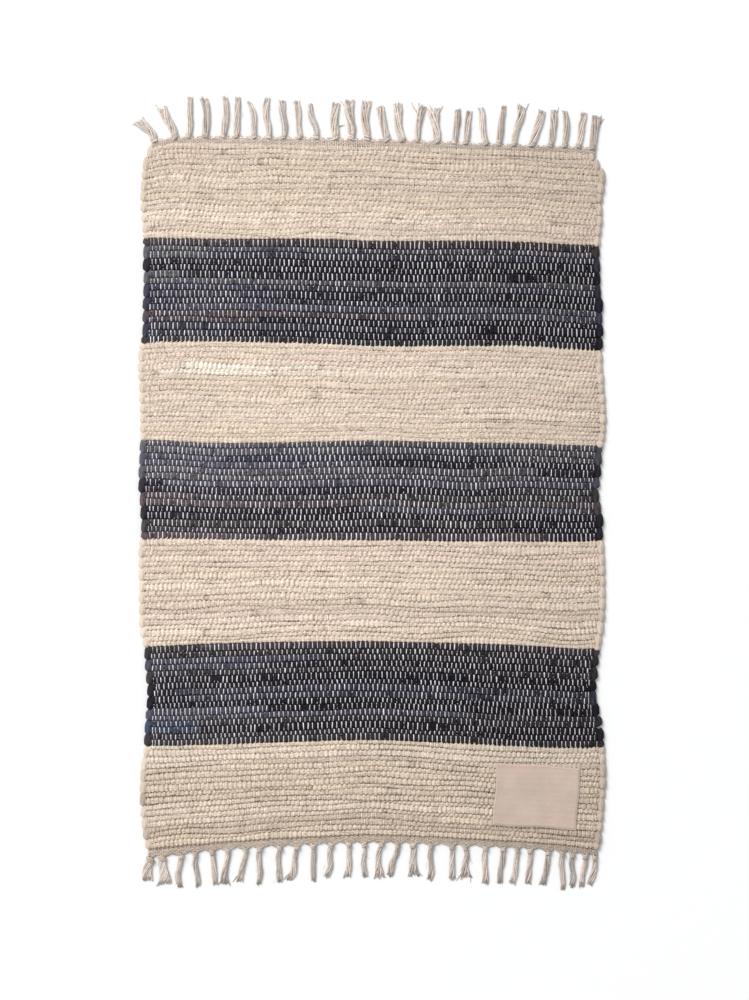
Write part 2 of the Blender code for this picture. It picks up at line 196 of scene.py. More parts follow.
# The turn between two picks, and the plump loop over it
TURN_REACH = 3.2 * MM
TURN_HALF_WIDTH = 3.3 * MM
TURN_HALF_HEIGHT = 1.9 * MM
TURN_ANGLES = (30, 75, 105, 150)
LOOP_SIDES = 8
LOOP_HALF_WIDTH = 4.5 * MM
LOOP_HALF_HEIGHT = 2.45 * MM
LOOP_LENGTH = {"cream": 1.14, "charcoal": 1.05}
LOOP_UNEVENNESS = {"cream": 0.045, "charcoal": 0.075}
# Painted light on the loops: the charcoal loops are painted paler than the same rag in the picks
LOOP_PAINTED_LIGHT = {"cream": 1.0, "charcoal": 1.35}
LOOP_RIPPLES = 0.03
# How far the loops at a strand's two ends reach, in picks
END_LOOP_REACH = 0.31
# A turn's outside, from far to near: (place, how far in from the selvedge in mm, width,
# rise in mm)
LOOP_SHAPE = (
    (0.00, 5.2, 0.50, -1.1),
    (0.10, 4.9, 0.74, -0.7),
    (0.28, 4.6, 0.94, -0.2),
    (0.52, 4.5, 1.00, 0.1),
    (0.76, 4.3, 0.98, 0.2),
    (0.93, 3.9, 0.82, 0.2),
    (1.00, 3.2, 0.50, 0.0),
)
# A strand's rounded ends: how far in from the selvedge, and what share of its full size
END_INSETS = np.array((0.7, 1.5, 3.0, 5.4)) * MM
END_SHARES = np.array((0.45, 0.78, 0.95, 1.0))
WARP_HALF_WIDTH = 0.98 * MM
WARP_HALF_HEIGHT = 0.62 * MM
WARP_OVER_Z = 4.55 * MM
WARP_UNDER_Z = 0.75 * MM
# How far a warp runs level to each side of a pick's middle, in picks
WARP_PLATEAU = 0.30
WARP_SWAY = 0.5 * MM
# Some warps lie sunk between the cream picks
SUNK_WARPS = 0.02
WARP_SINK = 1.0 * MM
WARP_PIECES = 3
WARP_PROFILE = ((1, -0.5), (0, 1), (-1, -0.5))

# Headings: sign of y, how far the knots hang past the arches, tone, painted light toward the rim: paler
# at the far end, darker at the near end
HEADINGS = {
    "far": {"sign": 1, "drop": 1.2 * MM, "tone": (0.83, 0.855, 0.90), "rim": 1.50},
    "near": {"sign": -1, "drop": 4.0 * MM, "tone": (0.98, 0.98, 0.98), "rim": 0.78},
}
HEADING_PICKS = 5
HEADING_TIGHTNESS = 1.12
HEADING_ENDS_MM = {"far": (-284, 288), "near": (-288, 290)}
HEADING_Z = 2.4 * MM
HEADING_WAVE = 0.5 * MM
HEADING_WARP_WAVE = 0.9 * MM
HEADING_PICK_HALF_HEIGHT = 0.85 * MM
HEADING_PROFILE = ((1, 0), (0, 1), (-1, 0), (0, -1))
# The higher, the flatter the arches between the knots
ARCH_SQUARENESS = 2.6
# The warps gather toward their knot in steps, at uneven heights
GATHERS = (0.12, 0.55)
GATHER_OUT = 0.7 * MM
GATHER_RISE_MM = (-0.4, 0.5)
AT_KNOT = 0.86
AT_KNOT_RISE_MM = (-1.2, 1.2)
KNOT_OUT = 1.0 * MM
KNOT_Z = 3.0 * MM

# Each tassel in mm: (root x, tip x, tip y, sideways bow, locks, width across the tips)
TASSELS_MM = {
    "far": (
        (-281, -301, 481, 3, 4, 15), (-254, -271, 496, 1, 4, 13), (-237, -235, 509, 1, 3, 8),
        (-215, -216, 508, 2, 4, 11), (-192, -189, 510, 2, 3, 8), (-175, -173, 509, 0, 3, 8),
        (-152, -158, 504, 2, 3, 7), (-133, -136, 508, -2, 3, 9), (-114, -116, 505, 1, 3, 9),
        (-93, -98, 505, 0, 3, 10), (-72, -80, 501, 0, 3, 7), (-47, -47, 503, -2, 4, 11),
        (-27, -29, 506, 0, 4, 13), (-6, -7, 505, -3, 4, 13), (19, 10, 498, -1, 4, 12),
        (39, 33, 501, -3, 4, 12), (58, 65, 499, -2, 3, 11), (84, 79, 496, 0, 4, 17),
        (106, 111, 495, 0, 3, 9), (121, 125, 492, 0, 3, 9), (147, 141, 496, -2, 3, 9),
        (163, 170, 499, 0, 3, 7), (183, 193, 499, 0, 3, 11), (206, 220, 492, 0, 4, 11),
        (230, 235, 493, 1, 3, 10), (248, 249, 492, 2, 3, 8), (266, 273, 489, 0, 3, 9),
        (284, 290, 486, 0, 4, 13),
    ),
    "near": (
        (-286, -290, -499, -2, 6, 14), (-271, -267, -504, 0, 6, 17), (-246, -248, -508, -3, 3, 7),
        (-228, -224, -507, -1, 3, 7), (-206, -202, -504, 0, 3, 8), (-186, -190, -504, -1, 3, 11),
        (-163, -171, -501, 0, 3, 9), (-145, -146, -504, 0, 3, 8), (-119, -119, -501, -2, 3, 8),
        (-97, -106, -499, 1, 3, 9), (-76, -76, -500, 0, 3, 7), (-53, -58, -495, 1, 3, 8),
        (-30, -32, -495, 1, 3, 10), (-10, -9, -495, -2, 3, 8), (12, 9, -496, -3, 3, 13),
        (33, 23, -493, 0, 3, 9), (53, 54, -494, -1, 4, 15), (76, 75, -498, 0, 3, 8),
        (103, 103, -498, 0, 3, 9), (120, 121, -496, 0, 3, 14), (146, 146, -503, -1, 3, 9),
        (169, 164, -503, 0, 3, 8), (187, 181, -503, 1, 3, 8), (204, 201, -504, 0, 3, 9),
        (227, 220, -504, 1, 3, 9), (245, 246, -510, -1, 3, 7), (258, 258, -507, 0, 3, 8),
        (275, 270, -507, 0, 3, 8), (287, 281, -505, 2, 3, 8),
    ),
}
# Yarns that leave a tassel: (which tassel, where along it, tip x, tip y, tone), in mm
STRAYS_MM = {
    "far": (
        (1, 0.45, -278, 499, 1.0), (11, 0.25, -38, 474, 0.75), (12, 0.50, -38, 503, 1.0),
        (16, 0.55, 52, 501, 1.0), (16, 0.60, 60, 500, 1.0), (17, 0.50, 75, 498, 1.0),
        (17, 0.55, 90, 497, 1.0), (22, 0.45, 190, 500, 1.0), (22, 0.45, 201, 500, 1.0),
        (24, 0.50, 240, 495, 1.0), (27, 0.35, 297, 480, 0.75), (0, 0.40, -306, 475, 0.9),
    ),
    "near": (
        (1, 0.40, -277, -505, 1.0), (5, 0.45, -197, -503, 1.0), (5, 0.55, -184, -504, 1.0),
        (6, 0.50, -178, -499, 1.0), (9, 0.50, -113, -497, 1.0), (14, 0.50, 3, -495, 1.0),
        (14, 0.55, 16, -494, 1.0), (16, 0.50, 47, -492, 1.0), (16, 0.55, 63, -492, 1.0),
        (19, 0.45, 110, -498, 1.0), (19, 0.50, 127, -499, 1.0),
    ),
}
STRAY_RADIUS = 0.75 * MM
STRAY_STEPS = 6
STRAY_FRAY_LENGTHS_MM = (2.0, 4.0)
YARN_RADIUS = 1.22 * MM
YARN_PITCH = 1.0 * MM
BUNDLE_RISE = 0.85 * MM
ROOT_RISE = 1.0 * MM
# How far out a yarn lies at its root, middle and tip, and the same for the core's
YARN_SHARES, CORE_SHARES = (0.72, 1.0, 1.0), (0.1, 0.1, 0.2)
TASSEL_TWISTS = {"far": (0.8, 3.0), "near": (2.0, 5.0)}
TASSEL_WIDTHS = {"far": 0.95, "near": 0.72}
# Painted light on each end's tassels: the far end's are painted paler, the near end's darker
TASSEL_END_PAINTED_LIGHT = {"far": (1.01, 1.02, 1.05), "near": (0.93, 0.93, 0.95)}
TASSEL_HUES = (
    (1.0, 1.0, 1.0), (1.01, 0.98, 0.97), (1.0, 0.995, 0.965), (0.985, 0.99, 1.01), (1.02, 1.0, 0.98),
)
# Painted shade in the tassels: the share of yarns painted darker at each end, and how dark; each
# tassel's core yarn is always painted darker
SHADOWED_YARN_SHARE = {"far": 0.12, "near": 0.30}
SHADOW_TONE = 0.70
# Painted light on each end's knots: the far end's are painted paler
KNOT_END_PAINTED_LIGHT = {"far": (1.22, 1.25, 1.30), "near": (1.0, 1.0, 1.05)}
YARN_STEPS = 9
YARN_SIDES = 6
# How far a yarn ends past its tassel's tip in mm, mean and spread: most end before it
YARN_STAGGER_MM = (-2.8, 0.9)
FRAYS = 3
FRAY_SPREAD, FRAY_LEAN = 0.22, 0.16
FRAY_LENGTHS_MM = (1.6, 4.6)
FRAY_SIDES = 3
FRAY_STEPS = np.linspace(-0.6, 1, 4)[:, None]
FRAY_TAPER = np.array((0.5, 0.46, 0.32, 0.10))
FRAY_TONE = 1.08
# Loose hairs of each tassel: how many, where they start along it, and how long they are
STRAY_HAIRS = 4
HAIR_STARTS = (0.25, 0.85)
HAIR_LENGTHS_MM = (4, 10)
HAIR_RADIUS = 0.16 * MM
HAIR_TAPER = np.array((1, 1, 0.9, 0.7, 0.4))
HAIR_TONE = 1.1
# A knot's half-width in mm with three locks, and how much each more adds
KNOT_HALF_MM, KNOT_GROWS_MM = 3.0, 0.7
KNOT_LOOPS = 3
KNOT_LOOP_PITCH = 1.9 * MM
KNOT_HALF_HEIGHT = 2.1 * MM
KNOT_MIDDLE_Z = 3.25 * MM
KNOT_LEAN = 0.35
KNOT_STEPS = 12
KNOT_SIDES = 5
KNOT_YARN = (1.0 * MM, 0.9 * MM)

# The sewn patch
PATCH_WIDTH = 108 * MM
PATCH_LENGTH = 80 * MM
PATCH_CENTRE = np.array((212.0, -390.7)) * MM
PATCH_TURN = math.radians(-3.6)
PATCH_CELLS = (36, 34)
PATCH_RIM = np.array((0.0, 0.6, 1.3, 2.2, 3.2, 4.4)) * MM
PATCH_Z = 6.1 * MM
PATCH_THICKNESS = 0.5 * MM
PATCH_EDGE_WAVE = 0.8 * MM
PATCH_RIBS = 0.13 * MM
PATCH_SWELL = 0.14 * MM
PATCH_PUCKER = 0.07 * MM
PATCH_EDGE_DROP = 0.55 * MM
TURNED_EDGE_RISE = 0.15 * MM
PATCH_THREAD = 0.5 * MM
# How far the patch sinks the picks under it, and how much it flattens them
PATCH_SINK = 0.5 * MM
PATCH_FLATTENS = 0.15
PATCH_SOFT_EDGE = 4.0 * MM
STITCH_INSET = 2.4 * MM
STITCH_PITCH = 3.1 * MM
STITCH_SHARE = 0.62
STITCH_RADIUS = 0.26 * MM
STITCH_SIDES = 4
STITCH_RISE = np.array((-0.25, 0.12, 0.12, -0.25)) * MM
STITCH_SWAY = 0.10
STITCH_TINT = (0.50, 0.41, 0.34)

# Colours of the rags: red, green and blue, linear
RAGS = {
    "ecru": (0.745, 0.620, 0.510),
    "sand": (0.735, 0.608, 0.486),
    "shell": (0.745, 0.603, 0.510),
    "pearl": (0.790, 0.668, 0.556),
    "ivory": (0.860, 0.775, 0.680),
    "oat": (0.685, 0.562, 0.462),
    "straw": (0.712, 0.592, 0.470),
    "umber": (0.610, 0.490, 0.395),
    "navy": (0.0297, 0.0292, 0.0425),
    "denim": (0.0350, 0.0420, 0.0640),
    "ink": (0.0163, 0.0145, 0.0198),
    "plum": (0.0468, 0.0360, 0.0403),
    "slate": (0.0454, 0.0440, 0.0597),
    "ash": (0.0590, 0.0562, 0.0642),
    "soot": (0.0311, 0.0274, 0.0299),
}
TINT_SPREAD = {"cream": 0.012, "charcoal": 0.07}
WARP_TINTS = ((0.74, 0.62, 0.51), (0.66, 0.55, 0.45), (0.82, 0.69, 0.57))
# The warps' tint over the dark picks, bluer than elsewhere, and its tone in each stripe
DARK_STRIPE_WARP_TINT = np.array((0.945, 1.08, 1.395))
DARK_STRIPE_WARP_TONES = (1.0, 1.03, 1.0, 1.09, 1.0, 0.98, 1.0)
# Painted shade on the warps where they run through each heading, darkest at the near end
WARP_END_PAINTED_SHADE = {"far": (0.84, 0.87, 0.94), "near": (0.70, 0.70, 0.72)}
HEADING_TINTS = ((0.61, 0.505, 0.415), (0.59, 0.485, 0.40), (0.63, 0.525, 0.43))
YARN_TINTS = ((0.65, 0.57, 0.50), (0.60, 0.52, 0.455), (0.70, 0.61, 0.54))
KNOT_TINTS = ((0.55, 0.465, 0.385), (0.50, 0.42, 0.345), (0.60, 0.51, 0.43))
PATCH_TINT = (0.508, 0.410, 0.342)
PATCH_BLUSH = (0.522, 0.395, 0.340)

# Materials: what a noise mostly spans, how matte the nap is, and how deep the relief
NOISE_RANGE, WAVE_RANGE = (0.3, 0.7), (-1.0, 1.0)
ROUGHNESS = (0.85, 1.0)
NAP_DEPTH = 0.35
FOLD_DEPTH = 3.0
STRAND_MAP_LENGTH = 10 * MM

# The room, and the camera straight above
IMAGE_WIDTH = 749
IMAGE_HEIGHT = 1000
METRES_A_PIXEL = 1.29 * MM
PHOTO_CENTRE_PX = (371.6, 492.8)
LENS_MM = 85.0
SENSOR_MM = 36.0
FLOOR_WHITE = 0.84
FLOOR_HALF = 30.0
FLOOR_GAP = 0.05 * MM
ROOM_COLOUR = (0.965, 0.985, 1.0, 1.0)
ROOM_STRENGTH = 0.60
SOFTBOX_PLACE = Vector((-16.0, 17.5, 21.0))
SOFTBOX_SIZE = 17.0
SOFTBOX_WATTS = 10250.0
SOFTBOX_COLOUR = (1.0, 0.99, 0.975)

rng = np.random.default_rng(54)


def jitter(spread, count=None):
    """A random number around 0, or `count` of them."""
    return rng.normal(0, spread, count)


# ---- Curves and rows


def through(stations, values, at):
    """Values at the places `at`, on a smooth curve through all of the stations."""
    stations = np.asarray(stations, float)
    values = np.asarray(values, float)
    if stations[0] > stations[-1]:
        stations, values = stations[::-1], values[::-1]
    slopes = np.empty_like(values)
    slopes[1:-1] = (values[2:] - values[:-2]) / (stations[2:] - stations[:-2])
    slopes[0] = (values[1] - values[0]) / (stations[1] - stations[0])
    slopes[-1] = (values[-1] - values[-2]) / (stations[-1] - stations[-2])
    at = np.clip(np.asarray(at, float), stations[0], stations[-1])
    i = np.clip(np.searchsorted(stations, at, side="right") - 1, 0, len(stations) - 2)
    span = stations[i + 1] - stations[i]
    t = (at - stations[i]) / span
    return (
        (2 * t**3 - 3 * t**2 + 1) * values[i]
        + (t**3 - 2 * t**2 + t) * span * slopes[i]
        + (3 * t**2 - 2 * t**3) * values[i + 1]
        + (t**3 - t**2) * span * slopes[i + 1]
    )


def wavy(count, step, amount):
    """A smooth random line: one value for each place, changing over `step` places."""
    knots = jitter(amount, count // step + 3)
    return through(np.arange(len(knots)) * step, knots, np.arange(count))


def lengths_along(path):
    steps = np.linalg.norm(np.diff(path, axis=0), axis=1)
    return np.concatenate([[0], np.cumsum(steps)])


def stripe_edge(edge, x):
    return through(STATIONS_MM, STRIPE_EDGES_MM[edge], np.asarray(x, float) / MM) * MM


def selvedge(side, y):
    """x of the left (0) or right (1) selvedge at y."""
    stations, *sides = np.array(SELVEDGES_MM).T
    return through(stations, sides[side], y / MM) * MM


def row_lumps(colour, picks):
    """Random swellings at even places along each pick."""
    lumps = jitter(ROW_LUMPS[colour], (picks, LUMPS_ALONG))
    lumps[1:] -= LUMPS_GIVE_WAY * lumps[:-1]
    return lumps


LUMPS = [row_lumps(colour, picks) for colour, picks, *_ in STRIPES]


def row_edges(stripe, x):
    """y of every line between a stripe's picks at the places x, one row for each line."""
    colour, picks, *_ = STRIPES[stripe]
    rows = np.arange(picks)[:, None]
    phase = ROW_PHASE * rows + STRIPE_PHASE * stripe
    wander = np.sin(x[None, :] / WANDER_LENGTH + WANDER_PHASE * phase)
    shares = 1 + ROW_UNEVENNESS * np.sin(phase) + ROW_WANDER[colour] * wander
    shares += ROW_TRENDS[stripe] * (1 - 2 * rows / picks)
    if stripe == 0:
        shares[:2] *= FIRST_PICKS_THIN
    stations = LUMP_SPACING * (np.arange(LUMPS_ALONG) - LUMPS_ALONG / 2)
    shares += np.array([through(stations, values, x) for values in LUMPS[stripe]])
    passed = np.concatenate([np.zeros((1, len(x))), np.cumsum(shares, axis=0)])
    far, near = stripe_edge(stripe, x), stripe_edge(stripe + 1, x)
    return far + (near - far) * passed / passed[-1]


def row_grid():
    """x, middle y and height of every pick at each warp and between the warps."""
    x, y, height = np.empty((3, PICKS, HALF_STEPS + 1))
    spacing = through(*np.array(WARP_SPACING).T, np.arange(HALF_STEPS) / (HALF_STEPS - 1))
    share = np.concatenate([[0], np.cumsum(spacing)]) / spacing.sum()
    for stripe, (_, picks, *_) in enumerate(STRIPES):
        middle = row_edges(stripe, np.zeros(1))[:, 0]
        for row in range(picks):
            pick = FIRST_PICK[stripe] + row
            at = (middle[row] + middle[row + 1]) / 2
            left = selvedge(0, at) + EDGE_INSET
            right = selvedge(1, at) - EDGE_INSET
            x[pick] = left + (right - left) * share
            edges = row_edges(stripe, x[pick])[row : row + 2]
            y[pick] = edges.mean(axis=0)
            height[pick] = edges[0] - edges[1]
    return x, y, height


# ---- Objects and strands


def new_object(name, data, material=None):
    """A mesh, light or camera as an object in the scene."""
    if material:
        data.materials.append(material)
    thing = bpy.data.objects.new(name, data)
    bpy.context.scene.collection.objects.link(thing)
    return thing


class Strands:
    """Closed tubes that become one mesh, each with its cross-section and its tint."""

    def __init__(self, sides, painted_light="cream"):
        self.sides = sides
        self.painted_light = np.array(PAINTED_LIGHT_FROM_LEFT[painted_light]).T
        self.rings = []
        self.tints = []
        self.lengths = []

    def add(self, path, wide, high, profile, tint, side=None, around=None):
        """Carry a cross-section along a path, this wide along `side` and this high to each
        side of the path."""
        along = np.gradient(path, axis=0)
        along /= np.linalg.norm(along, axis=1, keepdims=True)
        if side is None:
            side = np.stack([-along[:, 1], along[:, 0], np.zeros(len(path))], axis=1)
        side = side - along * (side * along).sum(axis=1, keepdims=True)
        side /= np.linalg.norm(side, axis=1, keepdims=True)
        up = np.cross(along, side)
        profile = np.asarray(profile, float)
        wide = np.broadcast_to(wide, len(path))[:, None, None]
        high = np.broadcast_to(high, len(path))[:, None, None]
        self.rings.append(
            path[:, None, :]
            + side[:, None, :] * profile[None, :, :1] * wide
            + up[:, None, :] * profile[None, :, 1:] * high
        )
        # painted light from the left, set by each ring's x
        tints = np.broadcast_to(tint, (len(path), 3)) * through(*self.painted_light, path[:, 0] / MM)[:, None]
        around = np.ones((self.sides, 3)) if around is None else around
        self.tints.append(tints[:, None, :] * around[None])
        self.lengths.append(lengths_along(path))

    def to_object(self, name, material):
        """One mesh with smooth tubes, flat ends, tints, and two maps for its strands."""
        sides = self.sides
        around = np.arange(sides)
        counts = [len(rings) for rings in self.rings]
        starts = np.concatenate([[0], np.cumsum(counts)])[:-1] * sides
        points = np.concatenate([rings.reshape(-1, 3) for rings in self.rings]) + SHIFT
        points[:, 2] = np.maximum(points[:, 2], FLOOR_GAP)
        quads, reach = [], []
        for start, length in zip(starts, self.lengths):
            ring = start + np.arange(len(length) - 1)[:, None] * sides
            here, following = ring + around, ring + (around + 1) % sides
            quads.append(np.stack([here, following, following + sides, here + sides], -1))
            reach.append(np.stack([length[:-1], length[:-1], length[1:], length[1:]], -1))
        quads = np.concatenate(quads).reshape(-1, 4)
        caps = [start + around[::-1] for start in starts]
        caps += [start + (count - 1) * sides + around for start, count in zip(starts, counts)]
        mesh = bpy.data.meshes.new(name)
        mesh.from_pydata(points.tolist(), [], quads.tolist() + np.array(caps).tolist())
        tints = np.concatenate([tint.reshape(-1, 3) for tint in self.tints])
        colours = np.ones((len(tints), 4), np.float32)
        colours[:, :3] = tints
        layer = mesh.attributes.new("tint", "FLOAT_COLOR", "POINT")
        layer.data.foreach_set("color", colours.ravel())
        self.add_maps(mesh, np.concatenate(reach), len(caps))
        mesh.shade_smooth()
        return new_object(name, mesh, material)

    def add_maps(self, mesh, reach, caps):
        """Strand: along and around each strand. OFBake: every face in its own place."""
        sides, segments = self.sides, len(reach)
        all_sides = (segments, sides, 4)
        edge = np.arange(sides) / sides
        turn = np.broadcast_to(np.stack([edge, edge + 1 / sides, edge + 1 / sides, edge], -1), all_sides)
        reach = np.broadcast_to(reach[:, None, :], all_sides)
        strand = np.stack([reach / STRAND_MAP_LENGTH, turn], -1).reshape(-1, 2)
        strand = np.concatenate([strand, np.zeros((caps * sides, 2))])
        lane = max(1, round(math.sqrt(segments * sides)))
        lanes = math.ceil(segments / lane)
        order = np.arange(segments)
        low = (order % lane) / lane
        u = np.stack([low, low, low + 1 / lane, low + 1 / lane], -1)[:, None, :]
        v = ((order // lane)[:, None, None] + 0.02 + 0.96 * turn) / lanes
        spot = round_profile(sides, 0.0) * 0.002
        centre = np.stack([0.01 + 0.98 * (np.arange(caps) + 0.5) / caps, np.full(caps, 0.996)], -1)
        laid = np.stack([np.broadcast_to(u, all_sides), 0.99 * v], -1).reshape(-1, 2)
        laid = np.concatenate([laid, (centre[:, None] + spot[None]).reshape(-1, 2)])
        for name, values in (("Strand", strand), ("OFBake", laid)):
            layer = mesh.uv_layers.new(name=name)
            layer.data.foreach_set("uv", values.astype(np.float32).ravel())


def round_profile(sides, start=math.pi / 2):
    angles = 2 * math.pi * np.arange(sides) / sides + start
    return np.stack([np.cos(angles), np.sin(angles)], -1)


def pick_tint(tints, spread=0.05):
    base = np.array(tints[rng.integers(len(tints))])
    return base * (1 + jitter(spread))


# ---- Materials


class Fabric:
    """A fabric material, and short ways to add nodes to it."""

    def __init__(self, name, sheen=0.12, gloss=0.18):
        self.material = bpy.data.materials.new(name)
        self.material.use_nodes = True
        tree = self.material.node_tree
        self.nodes, self.links = tree.nodes, tree.links
        self.shader = self.nodes["Principled BSDF"]
        self.fill(self.shader, {"Metallic": 0.0, "Specular IOR Level": gloss})
        self.fill(self.shader, {"Sheen Weight": sheen, "Sheen Roughness": 0.6})
        self.place = self.add("TexCoord").outputs["Object"]

    def fill(self, node, inputs):
        """Link or set a node's inputs."""
        for name, value in inputs.items():
            if isinstance(value, bpy.types.NodeSocket):
                self.links.new(value, node.inputs[name])
            else:
                node.inputs[name].default_value = value

    def add(self, kind, inputs=None, **settings):
        node = self.nodes.new("ShaderNode" + kind)
        for name, value in settings.items():
            setattr(node, name, value)
        self.fill(node, inputs or {})
        return node

    def math(self, operation, *values):
        return self.add("Math", dict(enumerate(values)), operation=operation).outputs[0]

    def noise(self, vector, scale, detail=2.0, rough=0.5):
        inputs = {"Vector": vector, "Scale": scale, "Detail": detail, "Roughness": rough}
        return self.add("TexNoise", inputs).outputs["Fac"]

    def remap(self, value, low, high, to_low, to_high):
        inputs = {"Value": value, "From Min": low, "From Max": high, "To Min": to_low, "To Max": to_high}
        return self.add("MapRange", inputs).outputs["Result"]

    def mix(self, factor, first, second, blend="MIX"):
        inputs = {"Factor": factor, "A": first, "B": second}
        return self.add("Mix", inputs, data_type="RGBA", blend_type=blend).outputs["Result"]

    def strand(self):
        """Coordinates along and around a strand."""
        return self.add("UVMap", uv_map="Strand").outputs["UV"]

    def drawn_out(self, along, around):
        """A noise's coordinates, drawn out along the strand."""
        inputs = {"Vector": self.strand(), "Scale": (along, around, 1.0)}
        return self.add("Mapping", inputs).outputs["Vector"]

    def change(self, value, depth, span=NOISE_RANGE):
        """A change of shade by a noise or a wave, from -depth to depth."""
        return self.remap(value, *span, -depth, depth)

    def shade(self, first, *changes):
        """1 with each of the changes added."""
        total = self.math("ADD", first, 1.0)
        for change in changes:
            total = self.math("ADD", total, change)
        return total

    def tinted(self, shade):
        """The strand's own tint, times a shade."""
        tint = self.add("Attribute", attribute_name="tint").outputs["Color"]
        return self.mix(1.0, tint, shade, "MULTIPLY")

    def finish(self, colour, nap, height, strength, distance):
        """The material, with its colour, a matte nap and a fine relief."""
        bump = self.add("Bump", {"Strength": strength, "Distance": distance, "Height": height})
        rough = self.remap(nap, *NOISE_RANGE, *ROUGHNESS)
        relief = bump.outputs["Normal"]
        self.fill(self.shader, {"Base Color": colour, "Roughness": rough, "Normal": relief})
        return self.material


def rag_material(name, mottle_and_relief_shade, sheen, gloss):
    """Jersey rag: creased along the strand, mottled, with a soft nap."""
    rag = Fabric(name, sheen, gloss)
    creases = rag.noise(rag.drawn_out(1.2, 5.0), 3.0, 3.0, 0.6)
    folds = rag.noise(rag.drawn_out(0.30, 2.3), 3.0, 1.0, 0.4)
    nap = rag.noise(rag.place, 1400.0, 3.0, 0.6)
    blotch = rag.noise(rag.place, 160.0)
    # painted shade: the nap, creases and folds that raise the relief also paint the colour paler where
    # they rise and darker where they sink; the blotches are the rag's own mottle
    changes = [rag.change(noise, mottle_and_relief_shade) for noise in (nap, creases, folds)]
    shade = rag.shade(*changes, rag.change(blotch, mottle_and_relief_shade / 2))
    height = rag.math("ADD", creases, rag.math("MULTIPLY", nap, NAP_DEPTH))
    height = rag.math("ADD", height, rag.math("MULTIPLY", folds, FOLD_DEPTH))
    return rag.finish(rag.tinted(shade), nap, height, 0.8, 0.9 * MM)


def yarn_material(name, mottle_and_relief_shade):
    """Plied cotton yarn: a slanting twist, with a soft nap."""
    yarn = Fabric(name)
    along, around, _ = yarn.add("SeparateXYZ", {"Vector": yarn.strand()}).outputs
    around = yarn.math("MULTIPLY", around, 2.0)
    slant = yarn.math("ADD", yarn.math("MULTIPLY", along, 3.2), around)
    twist = yarn.math("SINE", yarn.math("MULTIPLY", slant, 2 * math.pi))
    nap = yarn.noise(yarn.place, 1800.0, 3.0, 0.6)
    blotch = yarn.noise(yarn.place, 220.0)
    # painted shade: the twist and the nap that make the relief also paint the colour paler on the plies
    # and darker between them; the blotches are the yarn's own mottle
    changes = [yarn.change(noise, mottle_and_relief_shade) for noise in (nap, blotch)]
    shade = yarn.shade(yarn.change(twist, mottle_and_relief_shade, WAVE_RANGE), *changes)
    height = yarn.math("ADD", yarn.math("MULTIPLY", twist, 0.5), nap)
    return yarn.finish(yarn.tinted(shade), nap, height, 0.7, 0.4 * MM)


def patch_material():
    """Plain cotton: a fine even weave with faint slubs."""
    patch = Fabric("patch_cotton")
    x, y, _ = patch.add("SeparateXYZ", {"Vector": patch.place}).outputs
    threads = 2 * math.pi / PATCH_THREAD
    warp, weft = (patch.math("SINE", patch.math("MULTIPLY", axis, threads)) for axis in (x, y))
    weave = patch.math("MULTIPLY", warp, weft)
    slub = patch.noise(patch.place, 420.0, 3.0, 0.6)
    blotch = patch.noise(patch.place, 35.0)
    # painted shade: the weave and the slubs that make the relief also paint the colour paler on the
    # threads and darker between them; the blotches are the cotton's own mottle
    changes = [patch.change(noise, 0.05) for noise in (slub, blotch)]
    shade = patch.shade(patch.change(weave, 0.04, WAVE_RANGE), *changes)
    blush = patch.remap(patch.noise(patch.place, 24.0), 0.4, 0.65, 0.0, 1.0)
    colour = patch.mix(blush, (*PATCH_TINT, 1.0), (*PATCH_BLUSH, 1.0))
    colour = patch.mix(1.0, colour, shade, "MULTIPLY")
    return patch.finish(colour, slub, patch.math("ADD", weave, slub), 0.35, 0.1 * MM)


# ---- The woven cloth


def under_patch(x, y):
    """1 where the patch presses the picks down and 0 outside it, with a soft edge."""
    cos, sin = math.cos(PATCH_TURN), math.sin(PATCH_TURN)
    x, y = x - PATCH_CENTRE[0], y - PATCH_CENTRE[1]
    in_x = PATCH_WIDTH / 2 - np.abs(x * cos + y * sin)
    in_y = PATCH_LENGTH / 2 - np.abs(y * cos - x * sin)
    return np.clip(np.minimum(in_x, in_y) / PATCH_SOFT_EDGE + 0.5, 0, 1)


def strip_tints(stripe, lengths):
    """Tints along a pick strand, made of rag strips sewn end to end, and the joins' places."""
    spread = TINT_SPREAD[STRIPES[stripe][0]]
    rags = [rag.split() for rag in RAG_ORDER[stripe].split(",")]
    a_pick = lengths[-1] / sum(float(picks) for _, picks in rags)
    tints = np.empty((len(lengths), 3))
    joins = []
    at = 0.0
    for name, picks in rags:
        tints[lengths >= at] = np.array(RAGS[name]) * (1 + jitter(spread))
        if at > 0:
            joins.append(int(np.argmax(lengths >= at)))
        at += a_pick * float(picks) * (1 + jitter(RAG_LENGTH_SPREAD))
    return tints, joins


